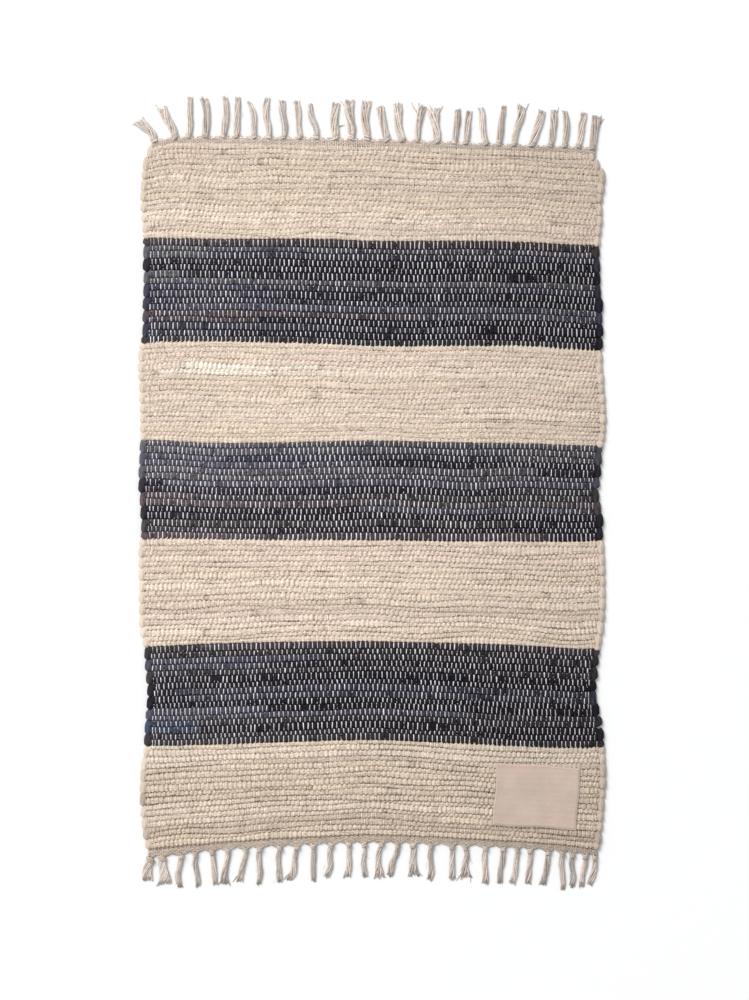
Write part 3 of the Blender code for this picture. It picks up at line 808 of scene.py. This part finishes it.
def pick_row(pick, stripe, grid):
    """One pick's rings, left to right: path, half-width, half-height, painted crest light, place in the
    weave.
    """
    colour, _, _, tightness, relief, _ = STRIPES[stripe]
    x, y, height = (part[pick] for part in grid)
    steps = np.arange(HALF_STEPS + 1)
    count = len(steps)
    swell = np.where(((steps - 1) // 2 + pick) % 2 == 0, 1.0, -1.0)
    swell = np.where(steps % 2 == 0, BETWEEN_SWELL, swell)
    relief = relief * np.clip(1 + wavy(count, 30, RELIEF_SPREAD[colour]), *RELIEF_LIMITS)
    thickness = 1 + wavy(count, 36, 0.05)
    puff = 1 + wavy(count, 3, 0.05) + jitter(PUFF_SPREAD, count)
    puff -= NIP * (rng.random(count) < NIPS) - BULGE * (rng.random(count) < NIPS)
    z = MIDDLE_Z + PICK_LIFT * relief * swell + jitter(PICK_Z_SPREAD, count)
    x = x + jitter(DOME_SWAY, count)
    path = np.stack([x, y + wavy(count, 5, PICK_SWAY), z], -1)
    wide = height / 2 * tightness * (thickness + PICK_SPREAD * swell) * (0.5 + 0.5 * puff)
    high = PICK_HALF_HEIGHT * (1 + PICK_SWELL * relief * swell) * puff * thickness
    # painted highlight where the pick rises over a warp, painted shade where it dips under one
    crest_light = 1 + CREST_PAINTED_LIGHT[stripe] * relief * (swell + 0.3) + jitter(CREST_LIGHT_SPREAD, count)
    return path, wide, high, crest_light, np.stack([np.full(count, pick), steps], -1)


def without_crest_light(path, wide, high):
    """Rings beyond a pick's ends, at no place in the weave."""
    return path, wide, high, np.ones(len(path)), np.full((len(path), 2), -1)


def turn_rings(before, after, outward):
    """The strand's turn at a selvedge, between the ends of two picks."""
    angle = np.radians(TURN_ANGLES)
    path = (before + after) / 2 + (before - after) / 2 * np.cos(angle)[:, None]
    path[:, 0] += outward * TURN_REACH * np.sin(angle)
    path[:, 2] = MIDDLE_Z
    return without_crest_light(path, np.full(len(angle), TURN_HALF_WIDTH), np.full(len(angle), TURN_HALF_HEIGHT))


def end_rings(first, wide, high, outward):
    """A rounded end of a strand, between a pick's first place and the selvedge."""
    path = np.repeat(first[None, :], len(END_SHARES), axis=0)
    path[:, 0] += outward * (EDGE_INSET - END_INSETS)
    return without_crest_light(path, wide * END_SHARES, high * END_SHARES)


def lay_picks(stripe, grid):
    """A stripe's picks as one strand of rings, and its turns: (ring, before, after, outward)."""
    parts, turns = [], []
    for pick in range(FIRST_PICK[stripe], FIRST_PICK[stripe + 1]):
        row = pick_row(pick, stripe, grid)
        if pick % 2 == 0:
            row = [values[::-1] for values in row]
        path, wide, high, *_ = row
        outward = -1 if pick % 2 else 1
        if parts:
            before = parts[-1][0][-1]
            turns.append((sum(len(part[0]) for part in parts), before, path[0], outward))
            parts.append(turn_rings(before, path[0], outward))
        else:
            first_outward = outward
            parts.append(end_rings(path[0], wide[0], high[0], outward))
        parts.append(row)
    last = end_rings(path[-1], wide[-1], high[-1], -outward)
    parts.append([values[::-1] for values in last])
    strand = [np.concatenate(values) for values in zip(*parts)]
    first, final = parts[1][0][0], path[-1]
    reach = np.array((0.0, END_LOOP_REACH, 0.0)) * (first[1] - parts[3][0][-1][1])
    turns.append((0, first + reach, first - reach, first_outward))
    turns.append((len(strand[0]) - 1, final + reach, final - reach, -outward))
    return strand, turns


def add_faults(stripe, wide, high, tints, joins, where):
    """Lumpy joins with a fold beside each, creases and loose places. Returns the places in the
    weave that the joins hide."""
    colour, hidden = STRIPES[stripe][0], set()
    for join in [join for join in joins if rng.random() < LUMPY_JOINS[colour]]:
        near = slice(max(join - 4, 0), join + 5)
        lump = np.hanning(11)[1:-1][: len(wide[near])]
        wide[near] *= 1 + JOIN_WIDER * lump
        high[near] *= 1 + JOIN_HIGHER * lump
        # painted shade at the lumpy join, and in the fold beside it
        tints[join : join + 2] *= JOIN_PAINTED_SHADE
        fold = slice(join + 2, join + 6)
        wide[fold] *= FOLD_WIDTH
        tints[fold] *= FOLD_PAINTED_SHADE
        covered = where[max(join - JOIN_HIDES, 0) : join + JOIN_HIDES + 1]
        hidden.update(tuple(place) for place in covered)
    creased = rng.random(len(wide)) < CREASES[colour]
    wide[creased] *= CREASE_WIDTH
    high[creased] *= CREASE_HEIGHT
    tints[creased] *= CREASE_PAINTED_SHADE
    for _ in range(PINCHES[colour]):
        start = rng.integers(len(wide) - 120)
        length = rng.integers(SHORTEST_PINCH, LONGEST_PINCH[stripe])
        loose = np.hanning(length + 2)[1:-1] ** 0.5
        wide[start : start + length] *= 1 - PINCH_DEPTH * loose
        tints[start : start + length] *= (1 - PINCH_PAINTED_SHADE * loose)[:, None]
    return hidden


def add_loop(strands, before, after, outward, colour, tint):
    """The plump outside of a turn, which droops over the start of the next one."""
    place, inset, wide, rise = np.array(LOOP_SHAPE).T
    unevenness = LOOP_UNEVENNESS[colour]
    middle = (before + after) / 2
    length = (before[1] - after[1]) * 2 * LOOP_LENGTH[colour] * (1 + jitter(unevenness))
    size = 1 + jitter(unevenness)
    bulge = jitter(3 * unevenness) * MM
    path = np.empty((len(place), 3))
    path[:, 0] = middle[0] + outward * (EDGE_INSET - inset * MM + bulge * np.sin(math.pi * place))
    path[:, 1] = middle[1] + length * (0.5 - place) + jitter(4 * unevenness) * MM
    path[:, 2] = MIDDLE_Z + rise * MM + jitter(0.15 * MM)
    ripples = 1 + jitter(LOOP_RIPPLES, len(place))
    half_width = LOOP_HALF_WIDTH * size * wide * ripples
    half_height = LOOP_HALF_HEIGHT * size * (0.3 + 0.7 * wide) * ripples
    # painted light: the loop is paler where it is widest and darker where it narrows into the turn
    shade = LOOP_PAINTED_LIGHT[colour] * (0.94 + 0.08 * wide)
    strands.add(path, half_width, half_height, round_profile(LOOP_SIDES), tint * shade[:, None])


def weave_stripe(stripe, grid, material):
    """A stripe's picks, the loops at its selvedges, and the places that its joins hide."""
    colour, _, tone, _, _, painted_gap_shade = STRIPES[stripe]
    (path, wide, high, crest_light, where), turns = lay_picks(stripe, grid)
    if stripe == len(STRIPES) - 1:
        pressed = under_patch(path[:, 0], path[:, 1])
        path[:, 2] -= PATCH_SINK * pressed
        high *= 1 - PATCH_FLATTENS * pressed
    tints, joins = strip_tints(stripe, lengths_along(path))
    # the stripe's tone, times the painted crest light and a random waver
    tints *= tone * (crest_light * (1 + wavy(len(path), 9, 0.035)))[:, None]
    hidden = add_faults(stripe, wide, high, tints, joins, where)
    # painted shade round the pick's sides and underside, and a painted highlight on its crest
    around = np.array(PICK_PAINTED_LIGHT[colour])
    around[[0, -2, -1]] *= painted_gap_shade
    picks, loops = Strands(len(around), colour), Strands(LOOP_SIDES, colour)
    picks.add(path, wide, high, PICK_PROFILES[colour], tints, around=around)
    for at, before, after, outward in turns:
        add_loop(loops, before, after, outward, colour, tints[at])
    name = f"{stripe + 1}_{colour}"
    pieces = picks.to_object(f"picks_{name}", material), loops.to_object(f"loops_{name}", material)
    return *pieces, hidden


# ---- Headings and warps


def end_edge_y(end, x):
    return stripe_edge(0 if end == "far" else len(STRIPES), x)


def hem_depth(end, x):
    """Depth of a heading's band under its arches."""
    hem = through(STATIONS_MM, HEMS_MM[end], np.asarray(x, float) / MM) * MM
    return np.abs(hem - end_edge_y(end, x))


def arch_depth(end, x):
    """Depth of a heading's band at x: arches hang between the knots."""
    left, right = HEADING_ENDS_MM[end]
    posts = np.array([left, *(row[0] for row in TASSELS_MM[end]), right]) * MM
    i = np.clip(np.searchsorted(posts, x, side="right") - 1, 0, len(posts) - 2)
    t = np.clip((x - posts[i]) / (posts[i + 1] - posts[i]), 0, 1)
    return hem_depth(end, x) + HEADINGS[end]["drop"] * np.abs(2 * t - 1) ** ARCH_SQUARENESS


def knot_place(end, root_x):
    """Middle of the knot at a tassel's root."""
    heading = HEADINGS[end]
    out = heading["sign"] * (float(hem_depth(end, root_x)) + heading["drop"] + KNOT_OUT)
    return np.array((root_x, float(end_edge_y(end, root_x)) + out, KNOT_Z))


def heading_path(end, x, number):
    """A warp's way from the cloth's end through the band and into its knot."""
    sign = HEADINGS[end]["sign"]
    depth = float(arch_depth(end, x))
    edge = float(end_edge_y(end, x))
    points = []
    for band_pick in range(HEADING_PICKS):
        part = (band_pick + 0.5) / HEADING_PICKS
        over = 1 if (number + band_pick) % 2 else -1
        points.append((x, edge + sign * depth * part, HEADING_Z + over * HEADING_WARP_WAVE))
    roots = np.array([row[0] * MM for row in TASSELS_MM[end]])
    root = roots[np.argmin(np.abs(roots - x))]
    knot = knot_place(end, root)
    for share in GATHERS:
        place = x + (root - x) * share
        out = sign * (float(arch_depth(end, place)) + GATHER_OUT)
        z = HEADING_Z + rng.uniform(*GATHER_RISE_MM) * MM
        points.append((place, float(end_edge_y(end, place)) + out, z))
    z = knot[2] + rng.uniform(*AT_KNOT_RISE_MM) * MM
    points.append((x + (root - x) * AT_KNOT, knot[1], z))
    return np.array(points)


def build_warps(grid, hidden, material):
    """The warps, over and under the picks and out through both headings."""
    x, y, height = grid
    picks = [row[1] for row in STRIPES]
    dark = np.array([row[0] == "charcoal" for row in STRIPES])
    over_dark_tint = np.where(dark[:, None], DARK_STRIPE_WARP_TINT * np.array(DARK_STRIPE_WARP_TONES)[:, None], 1.0)
    over_dark_tint = np.repeat(over_dark_tint, 2 * np.array(picks), axis=0)
    dark = np.repeat(dark, picks)
    pieces = []
    for number, group in enumerate(np.array_split(np.arange(WARPS), WARP_PIECES)):
        strands = Strands(len(WARP_PROFILE))
        for warp in group:
            column = 2 * warp + 1
            points = np.empty((PICKS, 2, 3))
            over = (warp + np.arange(PICKS)) % 2 == 1
            sunk = np.array([(pick, column) in hidden for pick in range(PICKS)])
            sunk |= rng.random(PICKS) < SUNK_WARPS
            sunk &= ~dark
            z = np.where(over, WARP_OVER_Z - WARP_SINK * sunk, WARP_UNDER_Z)
            z = z + jitter(0.18 * MM, PICKS)
            sway = jitter(WARP_SWAY, PICKS)
            for half, sign in enumerate((1, -1)):
                points[:, half, 0] = x[:, column] + sway + jitter(0.2 * MM, PICKS)
                points[:, half, 1] = y[:, column] + sign * WARP_PLATEAU * height[:, column]
                points[:, half, 2] = z + jitter(0.12 * MM, PICKS)
            far = heading_path("far", x[0, column], warp)[::-1]
            near = heading_path("near", x[-1, column], warp)
            path = np.concatenate([far, points.reshape(-1, 3), near])
            tint = pick_tint(WARP_TINTS) * (1 + wavy(len(path), 2, 0.09))[:, None]
            tint[len(far) : -len(near)] *= over_dark_tint
            # painted shade on the warps in the headings
            tint[: len(far)] *= WARP_END_PAINTED_SHADE["far"]
            tint[-len(near) :] *= WARP_END_PAINTED_SHADE["near"]
            wide = WARP_HALF_WIDTH * (1 + jitter(0.12, len(path)))
            strands.add(path, wide, WARP_HALF_HEIGHT, WARP_PROFILE, tint)
        pieces.append(strands.to_object(f"warps_{number + 1}", material))
    return pieces


def build_heading(end, grid, material):
    """A heading's fine picks, side by side from the cloth's end out to the arches."""
    heading = HEADINGS[end]
    x = grid[0][0 if end == "far" else -1]
    left, right = (value * MM for value in HEADING_ENDS_MM[end])
    x = left + (right - left) * (x - x[0]) / (x[-1] - x[0])
    steps = np.arange(len(x))
    depth, edge = arch_depth(end, x), end_edge_y(end, x)
    strands = Strands(len(HEADING_PROFILE))
    for band_pick in range(HEADING_PICKS):
        part = (band_pick + 0.5) / HEADING_PICKS
        over = np.where(((steps - 1) // 2 + band_pick) % 2 == 0, 1.0, -1.0)
        over = np.where(steps % 2 == 0, 0.0, over)
        y = edge + heading["sign"] * (0.2 * MM + depth * part) + wavy(len(x), 4, 0.12 * MM)
        wide = depth / HEADING_PICKS / 2 * HEADING_TIGHTNESS
        # painted light across the band, growing toward the rim
        shade = heading["rim"] ** part
        tint = pick_tint(HEADING_TINTS) * heading["tone"] * (shade + wavy(len(x), 5, 0.06))[:, None]
        path = np.stack([x, y, HEADING_Z + HEADING_WAVE * over], -1)
        strands.add(path, wide, HEADING_PICK_HALF_HEIGHT, HEADING_PROFILE, tint)
    return strands.to_object(f"heading_{end}", material)


# ---- Tassels


def tassel_frame(end, row):
    """Root, tip, direction and sideways direction of a tassel on the floor."""
    root_x, tip_x, tip_y = (value * MM for value in row[:3])
    root = knot_place(end, root_x)
    root[2] = 0.0
    tip = np.array((tip_x, tip_y, 0.0))
    along = (tip - root) / np.linalg.norm(tip - root)
    across = np.array((-along[1], along[0], 0.0))
    return root, tip, along, across if across[0] >= 0 else -across


def add_knot(strands, root, along, across, locks, tone):
    """A knot: loops of yarn wound round the bundle, leaning a little."""
    half_wide = (KNOT_HALF_MM + KNOT_GROWS_MM * (locks - 3)) * MM
    lean = KNOT_LEAN * rng.choice((-1, 1))
    for loop in range(KNOT_LOOPS):
        angle = 2 * math.pi * np.arange(KNOT_STEPS + 2) / KNOT_STEPS + rng.uniform(0, 6)
        offset = (loop - (KNOT_LOOPS - 1) / 2) * KNOT_LOOP_PITCH
        wide = half_wide * (1.0 - 0.1 * abs(loop - 1)) * (1 + jitter(0.05))
        high = KNOT_HALF_HEIGHT * (1 + jitter(0.06))
        sideways = across * (wide * np.cos(angle))[:, None]
        path = root + sideways + along * (offset + lean * wide * np.cos(angle))[:, None]
        path[:, 2] = KNOT_MIDDLE_Z + high * np.sin(angle)
        side = np.broadcast_to(along, path.shape)
        # the knot's tint, times its end's painted light
        tint = pick_tint(KNOT_TINTS, 0.10) * tone
        strands.add(path, *KNOT_YARN, round_profile(KNOT_SIDES), tint, side)


def add_filament(frays, path, size, tint):
    frays.add(path, size, size, round_profile(FRAY_SIDES), tint)


def out_of_end(yarn, length):
    """Straight on from a yarn's end."""
    heading = (yarn[-1] - yarn[-2]) / np.linalg.norm(yarn[-1] - yarn[-2])
    return yarn[-1] + heading * length * FRAY_STEPS


def add_yarn(strands, frays, root, tip, along, across, shape, tint):
    """One yarn of a tassel, and the filaments that its end frays into."""
    angle, twist, root_half, mid_half, tip_half, bow, s_bend, stagger = shape
    t = np.linspace(0, 1, YARN_STEPS + 1)
    half = through((0.0, 0.2, 0.5, 1.0), (root_half, mid_half, mid_half, tip_half), t)
    sway = wavy(len(t), 3, 0.25 * MM) * np.minimum(1, 3 * t)
    turned = angle + twist * (t - 1)
    side = np.cos(turned) * half + bow * np.sin(math.pi * t) + s_bend * np.sin(2 * math.pi * t) + sway
    reach = np.linalg.norm(tip - root) + stagger
    path = root + along * (reach * t)[:, None] + across * side[:, None]
    loose = np.clip(3.3 - 3.3 * t, 0, 1)
    height = YARN_RADIUS + BUNDLE_RISE * (1 + np.sin(turned)) * (0.35 + 0.65 * loose)
    height[0] += ROOT_RISE
    path[:, 2] = height + np.abs(wavy(len(t), 3, 0.12 * MM))
    radius = YARN_RADIUS * (1 + wavy(len(t), 3, 0.06))
    radius[-1] *= 0.55
    strands.add(path, radius, radius * 0.92, round_profile(YARN_SIDES), tint)
    for fray in range(FRAYS):
        spread = (fray - (FRAYS - 1) / 2) * FRAY_SPREAD
        lean = jitter(FRAY_LEAN) + spread
        length = rng.uniform(*FRAY_LENGTHS_MM) * MM
        bend = across * (lean * length) * np.clip(FRAY_STEPS, 0, 1) ** 1.6
        strand = out_of_end(path, length) + bend + across * spread * YARN_RADIUS
        strand[:, 2] = np.maximum(strand[:, 2] - 0.5 * MM * FRAY_STEPS[:, 0], 0.35 * MM)
        add_filament(frays, strand, YARN_RADIUS * FRAY_TAPER, tint * FRAY_TONE)


def add_hair(frays, root, tip, along, across, bow, tint):
    """A loose filament that leaves a tassel's side."""
    t = rng.uniform(*HAIR_STARTS)
    start = root + (tip - root) * t + across * bow * math.sin(math.pi * t)
    start = start + across * jitter(2.0 * MM)
    steps = np.linspace(0, 1, len(HAIR_TAPER))[:, None]
    away = jitter(0.45)
    length = rng.uniform(*HAIR_LENGTHS_MM) * MM
    hair = start + along * length * steps + across * away * length * steps**2
    hair[:, 2] = (2.6 - 2.0 * steps[:, 0]) * MM
    add_filament(frays, hair, HAIR_RADIUS * HAIR_TAPER, tint * HAIR_TONE)


def add_stray(yarns, frays, end, stray):
    """A single yarn that leaves its tassel on a bend of its own."""
    number, share, tip_x, tip_y, tone = stray
    row = TASSELS_MM[end][number]
    root, tassel_tip, along, across = tassel_frame(end, row)
    start = root + (tassel_tip - root) * share + across * row[3] * MM * math.sin(math.pi * share)
    tip = np.array((tip_x * MM, tip_y * MM, 0.0))
    reach = np.linalg.norm(tip - start)
    t = np.linspace(0, 1, STRAY_STEPS + 1)[:, None]
    path = start * (1 - t) + tip * t + along * reach * 0.25 * np.sin(math.pi * t) * (1 - t)
    path[:, 2] = STRAY_RADIUS + 2.4 * MM * (1 - t[:, 0]) ** 2
    path[1:-1] += jitter(0.25 * MM, (STRAY_STEPS - 1, 3)) * (1, 1, 0)
    radius = STRAY_RADIUS * (1 + jitter(0.06, len(t)))
    radius[-1] *= 0.6
    tint = pick_tint(YARN_TINTS) * tone
    yarns.add(path, radius, radius, round_profile(YARN_SIDES), tint)
    for fray in range(FRAYS):
        spread = (fray - (FRAYS - 1) / 2) * 0.3 + jitter(0.1)
        length = rng.uniform(*STRAY_FRAY_LENGTHS_MM) * MM
        strand = out_of_end(path, length) + across * spread * length * np.clip(FRAY_STEPS, 0, 1)
        strand[:, 2] = 0.45 * MM
        add_filament(frays, strand, STRAY_RADIUS * FRAY_TAPER, tint * FRAY_TONE)


def build_tassels(end, material):
    """One end's tassels: all their knots, all their yarns and all their frayed ends."""
    knots, yarns, frays = Strands(KNOT_SIDES), Strands(YARN_SIDES), Strands(FRAY_SIDES)
    for row in TASSELS_MM[end]:
        bow, locks, tip_width = row[3] * MM, row[4], row[5] * MM
        axes = root, _, along, across = tassel_frame(end, row)
        add_knot(knots, root, along, across, locks, KNOT_END_PAINTED_LIGHT[end])
        count = 2 * locks
        # the end's painted light, times a random tone and hue
        shade = np.array(TASSEL_END_PAINTED_LIGHT[end]) * (1 + jitter(0.04))
        shade *= TASSEL_HUES[rng.integers(len(TASSEL_HUES))]
        s_bend = jitter(0.7) * MM
        twist = rng.choice((-1, 1)) * rng.uniform(*TASSEL_TWISTS[end])
        mid_half = locks * YARN_PITCH * TASSEL_WIDTHS[end]
        tip_half = tip_width / 2 - YARN_RADIUS
        start = rng.uniform(0, 2 * math.pi)
        for k in range(count + 1):
            angle = start + 2 * math.pi * (k + jitter(0.12)) / count
            core = k == count
            shadowed = core or rng.random() < SHADOWED_YARN_SHARE[end]
            at_root, at_middle, at_tip = CORE_SHARES if core else YARN_SHARES
            halves = mid_half * at_root, mid_half * at_middle, tip_half * at_tip
            stagger = rng.normal(*YARN_STAGGER_MM) * MM
            tint = pick_tint(YARN_TINTS) * shade * (SHADOW_TONE if shadowed else 1.0)
            add_yarn(yarns, frays, *axes, (angle, twist, *halves, bow, s_bend, stagger), tint)
        for _ in range(STRAY_HAIRS):
            add_hair(frays, *axes, bow, pick_tint(YARN_TINTS))
    for stray in STRAYS_MM[end]:
        add_stray(yarns, frays, end, stray)
    strands = {"knots": knots, "tassels": yarns, "frays": frays}
    return [part.to_object(f"{name}_{end}", material) for name, part in strands.items()]


# ---- The patch


def ripple_at(x, y):
    """How high a pick stands at each point: 1 on its crest, -1 between two picks."""
    edges = row_edges(len(STRIPES) - 1, x)
    lines = np.arange(len(edges))
    places = [np.interp(-at, -edges[:, k], lines) for k, at in enumerate(y)]
    return np.array([-math.cos(2 * math.pi * place) for place in places])


def patch_surface(u, v):
    """Points of the patch's middle surface; u and v go from -0.5 to 0.5 across it."""
    local_x = u * PATCH_WIDTH + PATCH_EDGE_WAVE * np.sin(7.0 * v + 0.6) * np.abs(2 * u)
    local_y = v * PATCH_LENGTH + PATCH_EDGE_WAVE * np.sin(9.0 * u + 1.1) * np.abs(2 * v)
    cos, sin = math.cos(PATCH_TURN), math.sin(PATCH_TURN)
    x = PATCH_CENTRE[0] + local_x * cos - local_y * sin
    y = PATCH_CENTRE[1] + local_x * sin + local_y * cos
    from_edge = np.minimum((0.5 - np.abs(u)) * PATCH_WIDTH, (0.5 - np.abs(v)) * PATCH_LENGTH)
    z = PATCH_Z + PATCH_RIBS * ripple_at(x, y)
    z += TURNED_EDGE_RISE * np.exp(-(((from_edge - 3.2 * MM) / (2.2 * MM)) ** 2))
    z -= PATCH_EDGE_DROP * np.exp(-((from_edge / (1.0 * MM)) ** 2))
    z += PATCH_SWELL * np.sin(x / (17 * MM)) * np.sin(y / (13 * MM) + 1.0)
    z += PATCH_PUCKER * np.sin(x / (4.1 * MM) + 2.0 * np.sin(y / (9 * MM)))
    return np.stack([x, y, z], -1)


def patch_stations(size, cells):
    """Places across the patch, closer together at its two edges."""
    inner = np.linspace(PATCH_RIM[-1], size - PATCH_RIM[-1], cells + 1)
    return np.concatenate([PATCH_RIM[:-1], inner, size - PATCH_RIM[-2::-1]]) / size - 0.5


def build_patch(material):
    """The patch: a thin sheet over the ribs."""
    across = patch_stations(PATCH_WIDTH, PATCH_CELLS[0])
    down = patch_stations(PATCH_LENGTH, PATCH_CELLS[1])
    u, v = np.meshgrid(across, down)
    points = patch_surface(u.ravel(), v.ravel()) + SHIFT
    here = (np.arange(len(down) - 1)[:, None] * len(across) + np.arange(len(across) - 1)).ravel()
    faces = np.stack([here, here + 1, here + len(across) + 1, here + len(across)], -1)
    mesh = bpy.data.meshes.new("bare_patch")
    mesh.from_pydata(points.tolist(), [], faces.tolist())
    piece = new_object("bare_patch", mesh, material)
    mesh.shade_smooth()
    solidify = piece.modifiers.new("thickness", "SOLIDIFY")
    solidify.thickness = PATCH_THICKNESS
    solidify.offset = 0.0
    return piece


def build_stitches(material):
    """Small stitches that hold the patch's turned edge down."""
    strands = Strands(STITCH_SIDES)
    across, down = 0.5 - STITCH_INSET / PATCH_WIDTH, 0.5 - STITCH_INSET / PATCH_LENGTH
    corners = ((-across, -down), (across, -down), (across, down), (-across, down))
    for (u, v), (next_u, next_v) in zip(corners, corners[1:] + corners[:1]):
        side = math.hypot((next_u - u) * PATCH_WIDTH, (next_v - v) * PATCH_LENGTH)
        count = round(side / STITCH_PITCH)
        for stitch in range(count):
            t = (stitch + 0.5 + STITCH_SHARE * np.linspace(-0.5, 0.5, len(STITCH_RISE))) / count
            points = patch_surface(u + (next_u - u) * t, v + (next_v - v) * t)
            points[:, 2] += PATCH_THICKNESS / 2 + STITCH_RISE
            points += jitter(STITCH_SWAY, 3) * MM * (1, 1, 0)
            tint = pick_tint((STITCH_TINT,), 0.06)
            strands.add(points, STITCH_RADIUS, STITCH_RADIUS, round_profile(STITCH_SIDES), tint)
    return strands.to_object("patch_stitches", material)


# ---- Room, light and camera


def add_floor():
    mesh = bpy.data.meshes.new("floor")
    corners = [(x * FLOOR_HALF, y * FLOOR_HALF, 0) for x, y in ((-1, -1), (1, -1), (1, 1), (-1, 1))]
    mesh.from_pydata(corners, [], [(0, 1, 2, 3)])
    material = bpy.data.materials.new("pale_floor")
    material.use_nodes = True
    shader = material.node_tree.nodes["Principled BSDF"]
    shader.inputs["Base Color"].default_value = (FLOOR_WHITE, FLOOR_WHITE, FLOOR_WHITE, 1.0)
    shader.inputs["Roughness"].default_value = 0.9
    shader.inputs["Specular IOR Level"].default_value = 0.1
    new_object("floor", mesh, material)


def add_light():
    world = bpy.data.worlds.new("soft_room")
    bpy.context.scene.world = world
    world.use_nodes = True
    background = world.node_tree.nodes["Background"]
    background.inputs["Color"].default_value = ROOM_COLOUR
    background.inputs["Strength"].default_value = ROOM_STRENGTH
    softbox = bpy.data.lights.new("softbox", "AREA")
    softbox.shape = "SQUARE"
    softbox.size = SOFTBOX_SIZE
    softbox.energy = SOFTBOX_WATTS
    softbox.color = SOFTBOX_COLOUR
    thing = new_object("softbox", softbox)
    thing.location = SOFTBOX_PLACE
    thing.rotation_mode = "QUATERNION"
    thing.rotation_quaternion = (-SOFTBOX_PLACE).to_track_quat("-Z", "Y")


def add_camera():
    camera = bpy.data.cameras.new("overhead")
    camera.lens = LENS_MM
    camera.sensor_width = SENSOR_MM
    camera.clip_end = 50.0
    thing = new_object("overhead", camera)
    thing.location = (
        (IMAGE_WIDTH / 2 - PHOTO_CENTRE_PX[0]) * METRES_A_PIXEL,
        (PHOTO_CENTRE_PX[1] - IMAGE_HEIGHT / 2) * METRES_A_PIXEL,
        IMAGE_HEIGHT * METRES_A_PIXEL * LENS_MM / SENSOR_MM,
    )
    bpy.context.scene.camera = thing


# ---- The whole rug


def dress(pieces, node):
    """Lay pieces over a node of the part, which they replace."""
    for piece in pieces:
        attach(piece, "root")
        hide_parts(node)


def main():
    bpy.context.scene.view_settings.view_transform = "Standard"
    grid = row_grid()
    rags = {
        "cream": rag_material("cream_rag", 0.10, 0.10, 0.15),
        "charcoal": rag_material("charcoal_rag", 0.30, 0.015, 0.05),
    }
    warp_cotton = yarn_material("warp_cotton", 0.08)
    heading_cotton = yarn_material("heading_cotton", 0.10)
    tassel_cotton = yarn_material("tassel_cotton", 0.12)
    woven = [weave_stripe(k, grid, rags[stripe[0]]) for k, stripe in enumerate(STRIPES)]
    stripes, loops, hidden = zip(*woven)
    for pair in zip(stripes, loops):
        dress(pair, "rug_body")
    warps = build_warps(grid, set().union(*hidden), warp_cotton)
    dress(warps, "rug_body")
    for end in HEADINGS:
        parts = [build_heading(end, grid, heading_cotton), *build_tassels(end, tassel_cotton)]
        dress(parts, f"fringe_{end}")
    patch = build_patch(patch_material())
    dress((patch, build_stitches(tassel_cotton)), "sewn_patch")
    add_floor()
    add_light()
    add_camera()


main()
